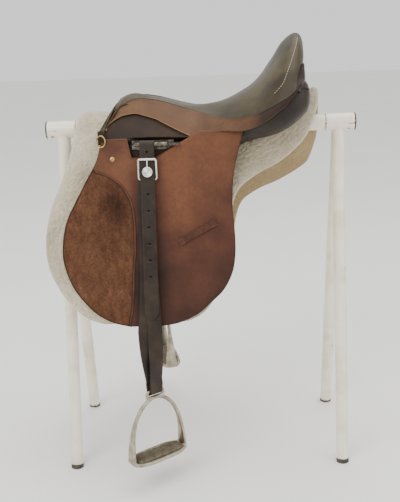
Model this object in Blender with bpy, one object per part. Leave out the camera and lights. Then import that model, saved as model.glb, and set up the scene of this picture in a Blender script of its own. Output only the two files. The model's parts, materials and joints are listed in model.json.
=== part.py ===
"""English riding saddle with stirrups and a fleece numnah, on a tubular trestle stand.

Metres, +Z up, floor at z = 0. +X runs along the beam towards the cantle (rear) of the saddle,
-Y is the near (left) side of the saddle. Saddle sizes are written for the near side and mirrored.
"""

import math

import bmesh
import bpy
import numpy as np
from mathutils import Matrix

for old in list(bpy.data.objects):
    bpy.data.objects.remove(old)

# stand
beam_height = 0.700
stand_length = 0.632
foot_spread = 0.283
leg_inset = 0.0335
beam_radius = 0.0164
sleeve_radius = 0.0176
sleeve_length = 0.060
tube_wall = 0.0018
leg_radius = 0.0127
foot_cuff = 0.007

# saddle
saddle_length = 0.415
saddle_spread = 0.1135
seat_thick = 0.0105
leather_thick = 0.004
tree_thick = 0.0045
flap_thick = 0.005
flap_drop = 0.368
flap_slope = math.radians(12.13)
pad_thick = 0.009
pad_slip = 0.037

# stirrups
strap_width = 0.0286
strap_thick = 0.0035
strap_drop = {"near": 0.484, "far": 0.456}
bar_radius = 0.0045
iron_width = 0.116
iron_height = 0.150
iron_foot = 0.046
iron_turn = {"near": math.radians(38), "far": math.radians(78)}

gap = 0.0003

# every height of the saddle is counted from the top of the beam, every length along it is stretched together
long = saddle_length / 0.415
deep = flap_drop / 0.368
base_z = beam_height + beam_radius - 0.7164
bar_x = -0.103 * long
bar_z = base_z + 0.683
wide = saddle_spread / 0.1135
sin_s = math.sin(flap_slope)
cos_s = math.cos(flap_slope)

parts = bpy.data.collections.new("saddle_on_stand")
bpy.context.scene.collection.children.link(parts)
cutters = bpy.data.collections.new("cutters")
bpy.context.scene.collection.children.link(cutters)


def material(name, colour, rough, metal=0.0):
    m = bpy.data.materials.new(name)
    m.use_nodes = True
    shader = m.node_tree.nodes["Principled BSDF"]
    shader.inputs["Base Color"].default_value = (*colour, 1)
    shader.inputs["Roughness"].default_value = rough
    shader.inputs["Metallic"].default_value = metal
    m.diffuse_color = (*colour, 1)
    return m


def own_material(obj, kind):
    colour, rough, metal = finishes[kind]
    obj.data.materials.append(material(obj.name + "_" + kind, colour, rough, metal))


finishes = {
    "white_paint": ((0.72, 0.69, 0.62), 0.35, 0.0),
    "black_plastic": ((0.03, 0.03, 0.03), 0.5, 0.0),
    "rubber": ((0.12, 0.11, 0.09), 0.8, 0.0),
    "fleece": ((0.65, 0.59, 0.50), 0.95, 0.0),
    "wood": ((0.35, 0.22, 0.12), 0.6, 0.0),
    "seat_leather": ((0.16, 0.14, 0.10), 0.4, 0.0),
    "tan_leather": ((0.20, 0.11, 0.06), 0.45, 0.0),
    "flap_leather": ((0.17, 0.07, 0.035), 0.45, 0.0),
    "suede": ((0.09, 0.04, 0.02), 0.8, 0.0),
    "dark_leather": ((0.05, 0.035, 0.025), 0.5, 0.0),
    "nickel": ((0.62, 0.60, 0.54), 0.3, 1.0),
    "brass": ((0.55, 0.45, 0.25), 0.35, 1.0),
}


def finish(name, bm, kind, group=parts, origin=None):
    """Makes the object from bm, whose points are in world metres, with its origin at the given point."""
    bmesh.ops.remove_doubles(bm, verts=bm.verts, dist=1e-6)
    bmesh.ops.recalc_face_normals(bm, faces=bm.faces)
    if bm.calc_volume(signed=True) < 0:
        bmesh.ops.reverse_faces(bm, faces=bm.faces)
    mesh = bpy.data.meshes.new(name)
    if origin is not None:
        bm.transform(Matrix.Translation([-v for v in origin]))
    bm.to_mesh(mesh)
    bm.free()
    obj = bpy.data.objects.new(name, mesh)
    group.objects.link(obj)
    if origin is not None:
        obj.location = origin
    if group is cutters:
        obj.hide_render = True
        obj.display_type = "WIRE"
    else:
        own_material(obj, kind)
    return obj


def at(keys, t):
    """Point at t (counted in keys) on a smooth Catmull-Rom curve through the keys."""
    keys = np.asarray(keys, float)
    t = np.asarray(t, float)
    i = np.clip(t.astype(int), 0, len(keys) - 2)
    f = (t - i)[..., None]
    ends = np.vstack([2 * keys[0] - keys[1], keys, 2 * keys[-1] - keys[-2]])
    a, b, c, d = ends[i], ends[i + 1], ends[i + 2], ends[i + 3]
    bend = (2 * a - 5 * b + 4 * c - d) * f**2 + (3 * b - a - 3 * c + d) * f**3
    return b + 0.5 * ((c - a) * f + bend)


def along(keys, share):
    """Point at a share 0..1 of the way along the smooth curve through the keys."""
    return at(keys, np.asarray(share) * (len(keys) - 1))


def grid_normals(grid):
    across = np.gradient(grid, axis=0)
    down = np.gradient(grid, axis=1)
    n = np.cross(across, down)
    return n / np.maximum(np.linalg.norm(n, axis=2, keepdims=True), 1e-12)


def offset(grid, distance, outward):
    """The grid moved along its normals; outward is a rough direction the normals should point to."""
    n = grid_normals(grid)
    if (n.reshape(-1, 3) @ np.asarray(outward, float)).sum() < 0:
        n = -n
    distance = np.asarray(distance)
    return grid + n * (distance[..., None] if distance.ndim else distance)


def shell(name, outer, inner, kind, origin=None, group=parts):
    """One closed body between two matching grids of points."""
    rows, cols = outer.shape[:2]
    bm = bmesh.new()
    front = [[bm.verts.new(p) for p in row] for row in outer]
    back = [[bm.verts.new(p) for p in row] for row in inner]
    for i in range(rows - 1):
        for j in range(cols - 1):
            bm.faces.new((front[i][j], front[i][j + 1], front[i + 1][j + 1], front[i + 1][j]))
            bm.faces.new((back[i][j], back[i + 1][j], back[i + 1][j + 1], back[i][j + 1]))
    rim = [(i, 0) for i in range(rows)] + [(rows - 1, j) for j in range(1, cols)]
    rim += [(i, cols - 1) for i in range(rows - 2, -1, -1)] + [(0, j) for j in range(cols - 2, 0, -1)]
    for (a, b), (c, d) in zip(rim, rim[1:] + rim[:1]):
        bm.faces.new((front[a][b], back[a][b], back[c][d], front[c][d]))
    return finish(name, bm, kind, group, origin)


def rings(name, loops, kind, origin=None, group=parts, closed=False):
    """One closed body through rings of equal point count; closed joins the last ring to the first."""
    bm = bmesh.new()
    made = [[bm.verts.new(p) for p in ring] for ring in loops]
    count = len(made[0])
    pairs = list(zip(made, made[1:] + made[:1])) if closed else list(zip(made, made[1:]))
    for a, b in pairs:
        for i in range(count):
            j = (i + 1) % count
            bm.faces.new((a[i], a[j], b[j], b[i]))
    if not closed:
        bm.faces.new(made[0])
        bm.faces.new(list(reversed(made[-1])))
    return finish(name, bm, kind, group, origin)


def turned(name, profile, start, direction, kind, steps=24, closed=True, group=parts):
    """A body of revolution: profile points (radius, distance along the axis) from start."""
    bm = bmesh.new()
    verts = [bm.verts.new((r, 0, h)) for r, h in profile]
    edges = [bm.edges.new(pair) for pair in zip(verts, verts[1:])]
    if closed:
        edges.append(bm.edges.new((verts[-1], verts[0])))
    bmesh.ops.spin(bm, geom=verts + edges, axis=(0, 0, 1), cent=(0, 0, 0),
                   steps=steps, angle=2 * math.pi, use_duplicate=False)
    bmesh.ops.remove_doubles(bm, verts=bm.verts, dist=1e-5)
    z = np.asarray(direction, float)
    z = z / np.linalg.norm(z)
    side = np.cross((0, 0, 1) if abs(z[2]) < 0.9 else (1, 0, 0), z)
    side = side / np.linalg.norm(side)
    third = np.cross(z, side)
    m = Matrix([[side[k], third[k], z[k], start[k]] for k in range(3)] + [[0, 0, 0, 1]])
    bm.transform(m)
    return finish(name, bm, kind, group)


def rod(name, points, radii, kind, sides=8, flat=1.0, closed=False, origin=None, group=parts,
        width_dir=None):
    """A round or oval rod swept along points. flat scales it across width_dir."""
    points = np.asarray(points, float)
    radii = np.broadcast_to(np.asarray(radii, float), (len(points),))
    if closed:
        tangent = np.roll(points, -1, 0) - np.roll(points, 1, 0)
    else:
        tangent = np.gradient(points, axis=0)
    tangent /= np.linalg.norm(tangent, axis=1, keepdims=True)
    width_dir = np.asarray(width_dir, float)
    loops = []
    for p, t, r in zip(points, tangent, radii):
        b = np.cross(t, width_dir)
        b /= np.linalg.norm(b)
        w = np.cross(b, t)
        turn = np.linspace(0, 2 * math.pi, sides, endpoint=False)
        loops.append([p + r * (math.cos(v) * b + flat * math.sin(v) * w) for v in turn])
    return rings(name, loops, kind, origin, group, closed)


def ribbon(name, points, widths, thick, kind, origin=None, half=strap_width / 2, group=parts,
           normals=None):
    """A flat strap along points; widths gives the direction of its width at each point."""
    points = np.asarray(points, float)
    widths = np.asarray(widths, float)
    half = np.broadcast_to(np.asarray(half, float), (len(points),))
    tangent = np.gradient(points, axis=0)
    n = np.cross(tangent, widths) if normals is None else np.asarray(normals, float)
    n /= np.linalg.norm(n, axis=1, keepdims=True)
    loops = []
    for p, w, m, h in zip(points, widths, n, half):
        corners = ((1, 1), (-1, 1), (-1, -1), (1, -1))
        loops.append([p + a * h * w + b * thick / 2 * m for a, b in corners])
    return rings(name, loops, kind, origin, group)


def cut(target, tool):
    mod = target.modifiers.new("cut_" + tool.name, "BOOLEAN")
    mod.operation = "DIFFERENCE"
    mod.solver = "EXACT"
    mod.object = tool


def fuse(target, tool):
    mod = target.modifiers.new("fuse_" + tool.name, "BOOLEAN")
    mod.operation = "UNION"
    mod.solver = "EXACT"
    mod.object = tool


def block(name, low, high, kind=None, group=cutters, frame=None):
    bm = bmesh.new()
    bmesh.ops.create_cube(bm, size=1)
    low, high = np.asarray(low, float), np.asarray(high, float)
    for v in bm.verts:
        v.co = [(low[k] + high[k]) / 2 + v.co[k] * (high[k] - low[k]) for k in range(3)]
    if frame is not None:
        bm.transform(frame)
    return finish(name, bm, kind, group)


# ---- stand: two A-frames whose sleeves take the beam's reduced ends ----
half = stand_length / 2
seam = half - sleeve_length
bore = sleeve_radius - tube_wall
spigot = bore - gap
plug = 0.040

beam_line = [
    (beam_radius, -seam + gap), (beam_radius, seam - gap), (spigot, seam - gap),
    (spigot, seam + plug), (spigot - tube_wall, seam + plug),
    (spigot - tube_wall, -seam - plug), (spigot, -seam - plug), (spigot, -seam + gap),
]
turned("stand_beam", beam_line, (0, 0, beam_height), (1, 0, 0), "white_paint")

leg_x = half - leg_inset
leg_reach = foot_spread / 2
leg_lean = math.hypot(leg_reach, beam_height)
floor_cut = block("cut_floor", (-1, -1, -0.2), (1, 1, 0))
for end, ex in (("left", -1), ("right", 1)):
    line = [(sleeve_radius, 0), (sleeve_radius, sleeve_length),
            (bore, sleeve_length), (bore, 0)]
    turned("stand_sleeve_" + end, line, (ex * seam, 0, beam_height), (ex, 0, 0), "white_paint")
    cap = [(0, 0.0015), (sleeve_radius - 0.0004, 0.0015), (sleeve_radius - 0.0004, gap),
           (bore - gap, gap), (bore - gap, -0.010), (0, -0.010)]
    turned("stand_cap_" + end, cap, (ex * half, 0, beam_height), (ex, 0, 0),
           "black_plastic", closed=False)
    clear = turned("cut_sleeve_" + end, [(0, -0.01), (sleeve_radius + gap, -0.01),
                   (sleeve_radius + gap, 0.10), (0, 0.10)],
                   (ex * (seam - 0.01), 0, beam_height), (ex, 0, 0), None, 24, False, cutters)
    for side, sy in (("near", -1), ("far", 1)):
        down = np.array((0, sy * leg_reach, -beam_height)) / leg_lean
        top = np.array((ex * leg_x, 0, beam_height))
        length = leg_lean - foot_cuff
        tube = [(leg_radius, 0), (leg_radius, length), (leg_radius - tube_wall, length),
                (leg_radius - tube_wall, 0)]
        leg = turned(f"stand_leg_{end}_{side}", tube, top, down, "white_paint", 20)
        mitre = (-gap / 2, 1) if sy < 0 else (-1, gap / 2)
        cut(leg, block(f"cut_mitre_{end}_{side}", (-1, mitre[0], -1), (1, mitre[1], 2)))
        cut(leg, clear)
        shoe = [(0, length - 0.016), (leg_radius - tube_wall - gap, length - 0.016),
                (leg_radius - tube_wall - gap, length + gap),
                (leg_radius, length + gap), (leg_radius, leg_lean + 0.01), (0, leg_lean + 0.01)]
        foot = turned(f"stand_foot_{end}_{side}", shoe, top, down, "rubber", 20, False)
        cut(foot, floor_cut)

# ---- numnah: a fleece pad bent over the beam, lying a little lower on the far side ----
# cross-section from the spine outwards: (half width, height above the floor at the drawn size)
pad_line = [(0, 0.7218), (0.012, 0.7192), (0.0245, 0.7095), (0.034, 0.695), (0.058, 0.655),
            (0.083, 0.605), (0.106, 0.545), (0.122, 0.480), (0.137, 0.410), (0.153, 0.335),
            (0.169, 0.260), (0.182, 0.195)]
fine = along(pad_line, np.linspace(0, 1, 400))
reach = np.concatenate([[0], np.cumsum(np.linalg.norm(np.diff(fine, axis=0), axis=1))])


def pad_surface(x, s):
    """Middle of the pad at x and at signed distance s from the spine (far side positive)."""
    r = np.abs(s)
    y = np.interp(r, reach, fine[:, 0]) * np.sign(s)
    z = np.interp(r, reach, fine[:, 1])
    lift = 0.044 * np.clip((x / long - 0.07) / 0.165, 0, 1) ** 1.5
    lift = lift + 0.010 * np.clip((-x / long - 0.13) / 0.10, 0, 1)
    z = z + lift * np.exp(-((r / 0.085) ** 2))
    return np.stack([x, y * wide, z + base_z], axis=-1)


# front and rear edges of the near half: (distance from the spine line, x)
pad_front = [(0, -0.226), (0.010, -0.234), (0.028, -0.248), (0.064, -0.257), (0.100, -0.264),
             (0.152, -0.282), (0.190, -0.298), (0.228, -0.308), (0.270, -0.314), (0.316, -0.310),
             (0.352, -0.296), (0.384, -0.276), (0.410, -0.252), (0.428, -0.222), (0.434, -0.190)]
pad_rear = [(0, 0.236), (0.012, 0.239), (0.030, 0.238), (0.050, 0.231), (0.082, 0.209),
            (0.118, 0.158), (0.142, 0.110), (0.174, 0.072), (0.230, 0.056), (0.300, 0.052),
            (0.360, 0.036), (0.405, 0.008), (0.428, -0.024), (0.434, -0.060)]
near_s = np.array([0, 0.008, 0.018, 0.030, 0.046, 0.066, 0.090, 0.120, 0.150, 0.185, 0.225,
                   0.270, 0.315, 0.352, 0.384, 0.410, 0.426, 0.434])
far_s = near_s + 2 * pad_slip * np.clip(near_s / 0.075, 0, 1)
columns = np.linspace(0, 1, 12)


def pad_row(s, side):
    """One row along the pad at near distance s; the far half is the same outline let down."""
    front = np.interp(s, *np.array(along(pad_front, np.linspace(0, 1, 120))).T)
    rear = np.interp(s, *np.array(along(pad_rear, np.linspace(0, 1, 120))).T)
    slid = np.interp(s, near_s, far_s) if side > 0 else s
    shift = 0.014 * min(1.0, s / 0.05) if side > 0 else 0.0
    x = (front + shift + (rear - front) * columns) * long
    return pad_surface(x, np.full(len(x), side * slid))


pad_mid = np.array([pad_row(s, -1) for s in near_s[::-1]] + [pad_row(s, 1) for s in near_s[1:]])
up = (0, 0, 1)
pad_top = offset(pad_mid, pad_thick / 2, up)
pad_under = offset(pad_mid, -pad_thick / 2, up)
shell("numnah_pad", pad_top, pad_under, "fleece")

# ---- saddle body ----
# stations front to rear: centre x, centre z, seat edge x, y, z, lower edge x, y, z (mm)
stations = np.array([
    (-165, 757, -199, 95, 705, -201, 98, 696),
    (-149, 766, -185, 93, 709, -187, 100, 696),
    (-136, 769.5, -181, 78, 724, -181, 100, 696),
    (-122, 769, -168, 60, 739, -168, 100, 696),
    (-108, 766, -152, 47, 752, -152, 100, 696),
    (-90, 761, -124, 38, 763, -124, 100, 696),
    (-65, 755, -85, 35.5, 759, -85, 100, 696),
    (-32, 746, -36, 41, 745, -36, 100, 694.5),
    (6, 743.5, 4, 55, 735, -4, 100.5, 696),
    (45, 749.5, 40, 82, 727, 38, 106, 704),
    (90, 769, 80, 108, 728, 80, 118, 704.5),
    (130, 804, 110, 122, 737, 107, 128, 713),
    (163, 853, 135, 131, 750, 132, 135, 727),
    (186, 877, 152, 135, 760, 150, 138, 741),
    (201, 877, 166, 136, 768, 165, 138, 752),
    (209, 858, 178, 134, 777, 177, 136, 766),
    (208, 828, 190, 130, 787, 190, 132, 780),
]) / 1000.0
last = len(stations) - 1


def body_point(u, f):
    """Outer face: f 0..1 runs from the centre line to the seat edge, 1..2 on to the lower edge."""
    k = at(stations, np.clip(u, 0, last))
    f = np.asarray(f, float)
    a = np.clip(f, 0, 1)
    b = np.clip(f - 1, 0, 1)
    x = k[..., 0] + (k[..., 2] - k[..., 0]) * a**2 + (k[..., 5] - k[..., 2]) * b
    y = k[..., 3] * a + (k[..., 6] - k[..., 3]) * b
    z = k[..., 4] + (k[..., 1] - k[..., 4]) * (1 - a**2.2) + (k[..., 7] - k[..., 4]) * b
    z = z + 0.003 * np.sin(math.pi * b)
    return np.stack([x * long, y * wide, z + base_z], axis=-1)


def both_sides(half_grid):
    """Joins a near half, whose columns start at the centre line, to its mirror image."""
    near = half_grid * np.array((1, -1, 1))
    return np.concatenate([near[:, :0:-1], half_grid], axis=1)


seat_u = np.concatenate([np.arange(0, 4, 0.5), np.arange(4, 11), np.arange(11, last + 0.1, 0.5)])
seat_u = seat_u[:, None]
seat_f = np.linspace(0, 1, 7)[None, :]
seat_top = both_sides(body_point(seat_u + 0 * seat_f, seat_f + 0 * seat_u))
edge_f = np.abs(np.concatenate([seat_f[:, :0:-1], seat_f], axis=1))
rear_u = np.clip((seat_u - 11) / 2, 0, 1)
seat_wall = seat_thick * (1 - 0.72 * edge_f**4) * (1 - 0.50 * rear_u)
seat_under = offset(seat_top, -seat_wall, up)
shell("saddle_seat", seat_top, seat_under, "seat_leather")

# the tree follows the same face, below the seat and the skirts
tree_u = seat_u[(seat_u[:, 0] >= 5) & (seat_u[:, 0] <= 12.5)]
tree_f = np.concatenate([seat_f[0], [1.33, 1.67, 1.92]])[None, :]
tree_face = both_sides(body_point(tree_u + 0 * tree_f, tree_f + 0 * tree_u))
drop = np.interp(tree_f, [0, 1.0, 1.5, 2], [1, 1, 0.68, 0.66])
drop = drop * (seat_thick + 4 * gap + 0.0032 * np.clip(6 - tree_u, 0, 1))
drop = np.concatenate([drop[:, :0:-1], drop], axis=1) + 0 * tree_u
tree_top = offset(tree_face, -drop, up)
tree_low = offset(tree_face, -drop - tree_thick, up)
shell("saddle_tree", tree_top, tree_low, "wood")


def slope_point(x, s, d, side):
    """A point by its distance s down the flap's slope from the stirrup bar and d outwards."""
    y = saddle_spread + s * sin_s + d * cos_s
    z = bar_z - s * cos_s + d * sin_s
    return np.stack(np.broadcast_arrays(x, side * y, z), axis=-1)


flap_face = -0.0079
flap_top = -0.0104
flap_front = [(-199, 0), (-202, 36), (-212, 55), (-229, 84), (-246, 116), (-263, 147),
              (-273, 180), (-277, 220), (-272, 252), (-260, 284), (-241, 313), (-214, 341),
              (-182, 359), (-147, 368)]
flap_rear = [(83, 0), (75, 24), (67, 57), (62, 93), (60.5, 136), (63, 172), (64.5, 205),
             (63, 237), (56, 268), (39, 299), (14, 323), (-12, 345), (-50, 362), (-89, 368)]
patch_rear = [(-207, 61), (-187, 68), (-168, 79), (-151, 97), (-139, 122), (-134, 153),
              (-134, 216), (-137, 246), (-140, 290), (-143, 330), (-150, 366)]


def sheet_rows(front, rear, face, side, rows, cols, inset=0.0):
    """Grid of points on the slope between a front and a rear edge, both (x, down) in mm."""
    share = np.linspace(0, 1, rows)
    a = along(np.array(front) / 1000.0, share)
    b = along(np.array(rear) / 1000.0, share)
    mix = np.linspace(inset, 1 - inset, cols)[None, :, None]
    flat = a[:, None] * (1 - mix) + b[:, None] * mix
    return slope_point(flat[..., 0] * long, flap_top + flat[..., 1] * deep, face, side)


def slab(name, front, rear, face, thick, side, kind, rows, cols, origin=None, inset=0.0):
    outer = sheet_rows(front, rear, face, side, rows, cols, inset)
    inner = sheet_rows(front, rear, face - thick, side, rows, cols, inset)
    return shell(name, outer, inner, kind, origin)


def scaled(edge, keep, x_in, top):
    """An edge shortened to the share keep of its drop, pulled in by x_in and started lower."""
    return [(x + x_in, top + y * keep) for x, y in edge]


strap_gap = 0.0005
back_d = flap_face + 0.0043 + strap_thick / 2
mid_d = back_d + strap_thick + strap_gap
tail_d = mid_d + strap_thick + strap_gap
over_d = bar_radius + gap + strap_thick / 2
buckle_low = 0.067
buckle_high = 0.029
tail_end = 0.343
eye_radius = 0.0032
hanger_radius = 0.0175

for side, sy in (("near", -1), ("far", 1)):

    def own(name):
        return name + "_" + side

    def mirror(grid):
        return grid * np.array((1, sy, 1))

    # skirt: from the seat edge down, with an arch over the stirrup bar
    arch_u = np.array([1.5, 2, 3, 4, 5, 6, 7, 7.6, 8.2, 16])
    arch_f = np.array([1.30, 1.30, 1.33, 1.36, 1.42, 1.56, 1.86, 2, 2, 2])
    skirt_u = np.concatenate([np.linspace(3.25, 8, 11), np.linspace(8.8, 15, 11)])
    low_f = np.interp(skirt_u, arch_u, arch_f)
    across = np.linspace(0, 1, 5)[None, :]
    drop_len = np.linalg.norm(body_point(skirt_u, 2) - body_point(skirt_u, 1), axis=1)
    crease = np.interp(skirt_u, [3, 5, 9, 11, 13, 15],
                       [0.0066, 0.0044, 0.0034, 0.0034, 0.0042, 0.0046])
    start_f = 1 + crease / drop_len
    skirt_f = start_f[:, None] * (1 - across) + low_f[:, None] * across
    face = mirror(body_point(skirt_u[:, None] + 0 * across, skirt_f))
    out = (0, sy, 0.3)
    wall = leather_thick * np.array([0.30, 0.75, 1, 1, 1]) + 0 * start_f[:, None]
    shell(own("skirt"), face, offset(face, -wall, out), "tan_leather")

    # under-skirt: fills the arch down to a straight edge above the flap
    under_u = np.linspace(3.0, 8.3, 11)[:, None]
    under_f = np.interp(under_u, arch_u, arch_f) - 0.13
    under_f = under_f + (2 - under_f) * np.linspace(0, 1, 5)[None, :]
    face = mirror(body_point(under_u + 0 * under_f, under_f))
    shell(own("underskirt"), offset(face, -leather_thick - 2.5 * gap, out),
          offset(face, -leather_thick - 2.5 * gap - 0.0016, out), "dark_leather")

    # panel: stuffed cushion, each section the hull of an upper and a lower circle
    # x, then y, z, radius of the upper circle and y, z, radius of the lower one (mm)
    panel = np.array([
        (-184, 76, 668, 6, 98, 620, 3),
        (-172, 72, 674, 12, 99, 608, 5.5),
        (-120, 70, 678, 14, 99.5, 605, 6),
        (-60, 69.5, 679, 15, 99.5, 605, 6),
        (0, 69, 679, 15, 99.5, 606, 6),
        (36, 70, 682, 15.5, 88, 640, 7),
        (75, 72, 694, 18.5, 77.5, 678, 15.5),
        (110, 78.5, 708, 23.5, 80, 698, 20.5),
        (145, 83, 728, 30, 85, 716, 28),
        (178, 84, 748, 33, 84, 737, 31),
        (200, 83, 758, 26, 83, 750, 25),
        (210, 82, 760, 15, 82, 755, 14),
        (213.5, 82, 758, 5, 82, 757, 5),
    ]) / 1000.0
    loops = []
    for k in at(panel, np.linspace(0, len(panel) - 1, 16)):
        top_y, top_z, top_r, low_y, low_z, low_r = k[1:]
        turn = math.atan2(low_z - top_z, low_y - top_y)
        ring = []
        for v in np.linspace(math.pi / 2, 3 * math.pi / 2, 5):
            ring.append((top_y + top_r * math.cos(turn + v), top_z + top_r * math.sin(turn + v)))
        for v in np.linspace(-math.pi / 2, math.pi / 2, 5):
            ring.append((low_y + low_r * math.cos(turn + v), low_z + low_r * math.sin(turn + v)))
        loops.append([(k[0] * long, sy * y * wide, z + base_z) for y, z in ring])
    rings(own("panel"), loops, "dark_leather")

    # stirrup bar: plate on the tree's point and a round bar open to the rear
    plate_y = (saddle_spread - 0.0162, saddle_spread - 0.0132)
    low = (bar_x - 0.030, min(sy * plate_y[0], sy * plate_y[1]), bar_z - 0.012)
    high = (bar_x + 0.052, max(sy * plate_y[0], sy * plate_y[1]), bar_z + 0.006)
    bar = block(own("stirrup_bar"), low, high, "nickel", parts)
    bend = [(bar_x - 0.024, saddle_spread - 0.0150), (bar_x - 0.025, saddle_spread - 0.0085),
            (bar_x - 0.0225, saddle_spread - 0.002), (bar_x - 0.0185, saddle_spread),
            (bar_x, saddle_spread), (bar_x + 0.040, saddle_spread)]
    bend = np.array([(x, sy * y, bar_z) for x, y in bend])
    fuse(bar, rod(own("fuse_bar"), bend, bar_radius, None, 12, group=cutters, width_dir=(0, 0, 1)))

    # catch: a lever behind the bar's open end, which turns up to close it
    pin_x = bar_x + 0.0475
    pin_y = np.array((plate_y[1] + gap, saddle_spread + 0.0040))
    catch = rod(own("bar_catch"), [(pin_x, sy * y, bar_z) for y in pin_y], 0.0032, "nickel", 12,
                origin=(pin_x, sy * saddle_spread, bar_z), width_dir=(0, 0, 1))
    lever_y = sorted((sy * (saddle_spread - 0.0040), sy * (saddle_spread + 0.0040)))
    fuse(catch, block(own("fuse_catch"), (pin_x, lever_y[0], bar_z - 0.0022),
                      (pin_x + 0.015, lever_y[1], bar_z + 0.0022)))

    # sweat flap and the two girth straps between it and the flap
    slab(own("sweat_flap"), scaled(flap_front[1:], 0.88, 14, -12), scaled(flap_rear[1:], 0.88, -24, -2),
         flap_face - flap_thick - 0.0052, 0.003, sy, "dark_leather", 13, 7)
    for place, cx in (("front", -0.060), ("rear", -0.012)):
        top = slope_point(cx * long, 0.020, flap_face - flap_thick - 0.0027, sy)
        s = np.concatenate([[0.0135], np.array([0.14, 0.27, 0.282, 0.292]) * deep])
        pts = slope_point(cx * long, s, flap_face - flap_thick - 0.0027, sy)
        ribbon(own("girth_strap_" + place), pts, np.tile((1, 0, 0), (len(s), 1)), 0.0036,
               "dark_leather", tuple(top), half=[0.0125, 0.0125, 0.0125, 0.008, 0.002])

    # flap with the notch for the stirrup bar, its knee patch, stud and leather keeper;
    # its top edge folds just inside the bar, so it swings about the bar's own axis
    hinge = (0, sy * saddle_spread, bar_z)
    flap = slab(own("flap"), flap_front, flap_rear, flap_face, flap_thick, sy, "flap_leather",
                24, 9, hinge)
    notch = [(-140, -12), (-134, 30.5), (-80, 30.5), (-48, 12.5), (0, -12)]
    corner = [(-230, -12), (-230, 17), (-180, 17), (-180, -12)]
    for label, outline in (("cut_notch", notch), ("cut_corner", corner)):
        ends = []
        for d in (0.02, -0.02):
            ends.append([slope_point(x / 1000 * long, flap_top + q / 1000, flap_face + d, sy)
                         for x, q in outline])
        cut(flap, rings(own(label), ends, None, group=cutters))

    patch_face = flap_face + gap + 0.0020
    slab(own("knee_patch"), [(x + 1.2, y) for x, y in flap_front[2:]],
         patch_rear, patch_face, 0.0020, sy, "suede", 20, 6)
    stud_at = slope_point(-0.172 * long, flap_top + 0.037, flap_face + gap, sy)
    out_dir = np.array((0, sy * cos_s, sin_s))
    turned(own("flap_stud"), [(0, 0), (0.0048, 0), (0.0044, 0.0012), (0.0025, 0.0022), (0, 0.0025)],
           stud_at, out_dir, "brass", 12, False)
    share = np.linspace(0, 1, 7)
    bow = flap_face + 0.0016 + gap + 0.0010 * np.sin(math.pi * share)
    keeper = slope_point((-0.045 + 0.072 * share) * long,
                         flap_top + (0.203 - 0.0385 * share) * deep, bow, sy)
    across_dir = np.cross(keeper[-1] - keeper[0], out_dir)
    across_dir /= np.linalg.norm(across_dir)
    ribbon(own("keeper"), keeper, np.tile(across_dir, (7, 1)), 0.0022, "dark_leather",
           half=0.0062, normals=np.tile(out_dir, (7, 1)))

    # stirrup leather: the turn over the bar, then the loop to the iron and the loose tail
    top_turn = math.pi * np.linspace(0, 1, 9)
    s = np.concatenate([[0.016, 0.008], -over_d * np.sin(top_turn), [0.008, 0.016, 0.022]])
    d = np.concatenate([[-0.0040, -0.0062], -over_d * np.cos(top_turn), [0.0066, 0.0064, tail_d]])
    turn_pts = slope_point(bar_x, s, d, sy)
    bar_at = slope_point(bar_x, 0.0, 0.0, sy)
    hanger = ribbon(own("leather_turn"), turn_pts, np.tile((1, 0, 0), (len(s), 1)), strap_thick,
                    "dark_leather", tuple(bar_at))
    ring_a = [(hanger_radius, -0.03), (0.08, -0.03), (0.08, 0.03), (hanger_radius, 0.03)]
    tool = turned(own("cut_turn"), ring_a, bar_at, out_dir, None, 32, True, cutters)
    cut(hanger, tool)

    turn_end = iron_turn[side]
    eye_s = strap_drop[side]
    flap_low = flap_top + flap_drop + 0.004

    def twisted(s, d, dx):
        """Strap points and width directions, turned about the strap's centre towards the iron."""
        share = np.clip((s - flap_low) / (eye_s - 0.014 - flap_low), 0, 1)
        share = share * share * (3 - 2 * share)
        angle = turn_end * share
        mid = back_d + 0.5 * (strap_thick + strap_gap)
        x = bar_x + dx * (1 - share) + (d - mid) * np.sin(angle)
        out = mid + (d - mid) * np.cos(angle)
        pts = slope_point(x, s, out, sy)
        w = np.stack([np.cos(angle), -sy * np.sin(angle) * (cos_s + (1 - cos_s) * share),
                      -np.sin(angle) * sin_s * (1 - share)], axis=-1)
        return pts, w

    mid_line = back_d + 0.5 * (strap_thick + strap_gap)
    wrap = eye_radius + 3 * gap + strap_thick / 2
    turn = math.pi * np.linspace(0, 1, 9)
    lower = np.linspace(flap_low, eye_s - 0.022, 8)
    down_s = np.concatenate([[0.0705, 0.15, 0.25], lower])
    down_d = np.full(len(down_s), mid_d)
    loop_s = eye_s + wrap * np.sin(turn)
    loop_d = mid_line + wrap * np.cos(turn)
    up_s = np.concatenate([lower[::-1], [0.25, 0.15, 0.05, 0.030, 0.020, 0.008]])
    up_d = np.concatenate([np.full(12, back_d), [-0.0033, -0.0062]])
    s = np.concatenate([down_s, [eye_s - 0.012], loop_s[1:-1], [eye_s - 0.012], up_s])
    d = np.concatenate([down_d, [mid_line + wrap], loop_d[1:-1], [mid_line - wrap], up_d])
    aside = np.where(np.arange(len(s)) < len(down_s) + 6, 0, -0.007)
    aside = aside * np.clip((s - 0.030) / 0.05, 0, 1)
    pts, w = twisted(s, d, aside)
    leather = ribbon(own("stirrup_leather"), pts, w, strap_thick, "dark_leather", tuple(bar_at))
    s = np.array([0.010, 0.016, 0.022, 0.030, 0.045, 0.070, 0.16, 0.25, tail_end - 0.016,
                  tail_end - 0.005, tail_end])
    d = np.array([0.0066, 0.0064, tail_d, tail_d, tail_d, tail_d, tail_d, tail_d, tail_d,
                  tail_d, tail_d])
    h = np.array([1, 1, 1, 1, 1, 1, 1, 1, 1, 0.6, 0.15]) * strap_width / 2
    tail = ribbon(own("leather_tail"), slope_point(bar_x, s, d, sy), np.tile((1, 0, 0), (len(s), 1)),
                  strap_thick, "dark_leather", tuple(bar_at), half=h)
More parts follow.
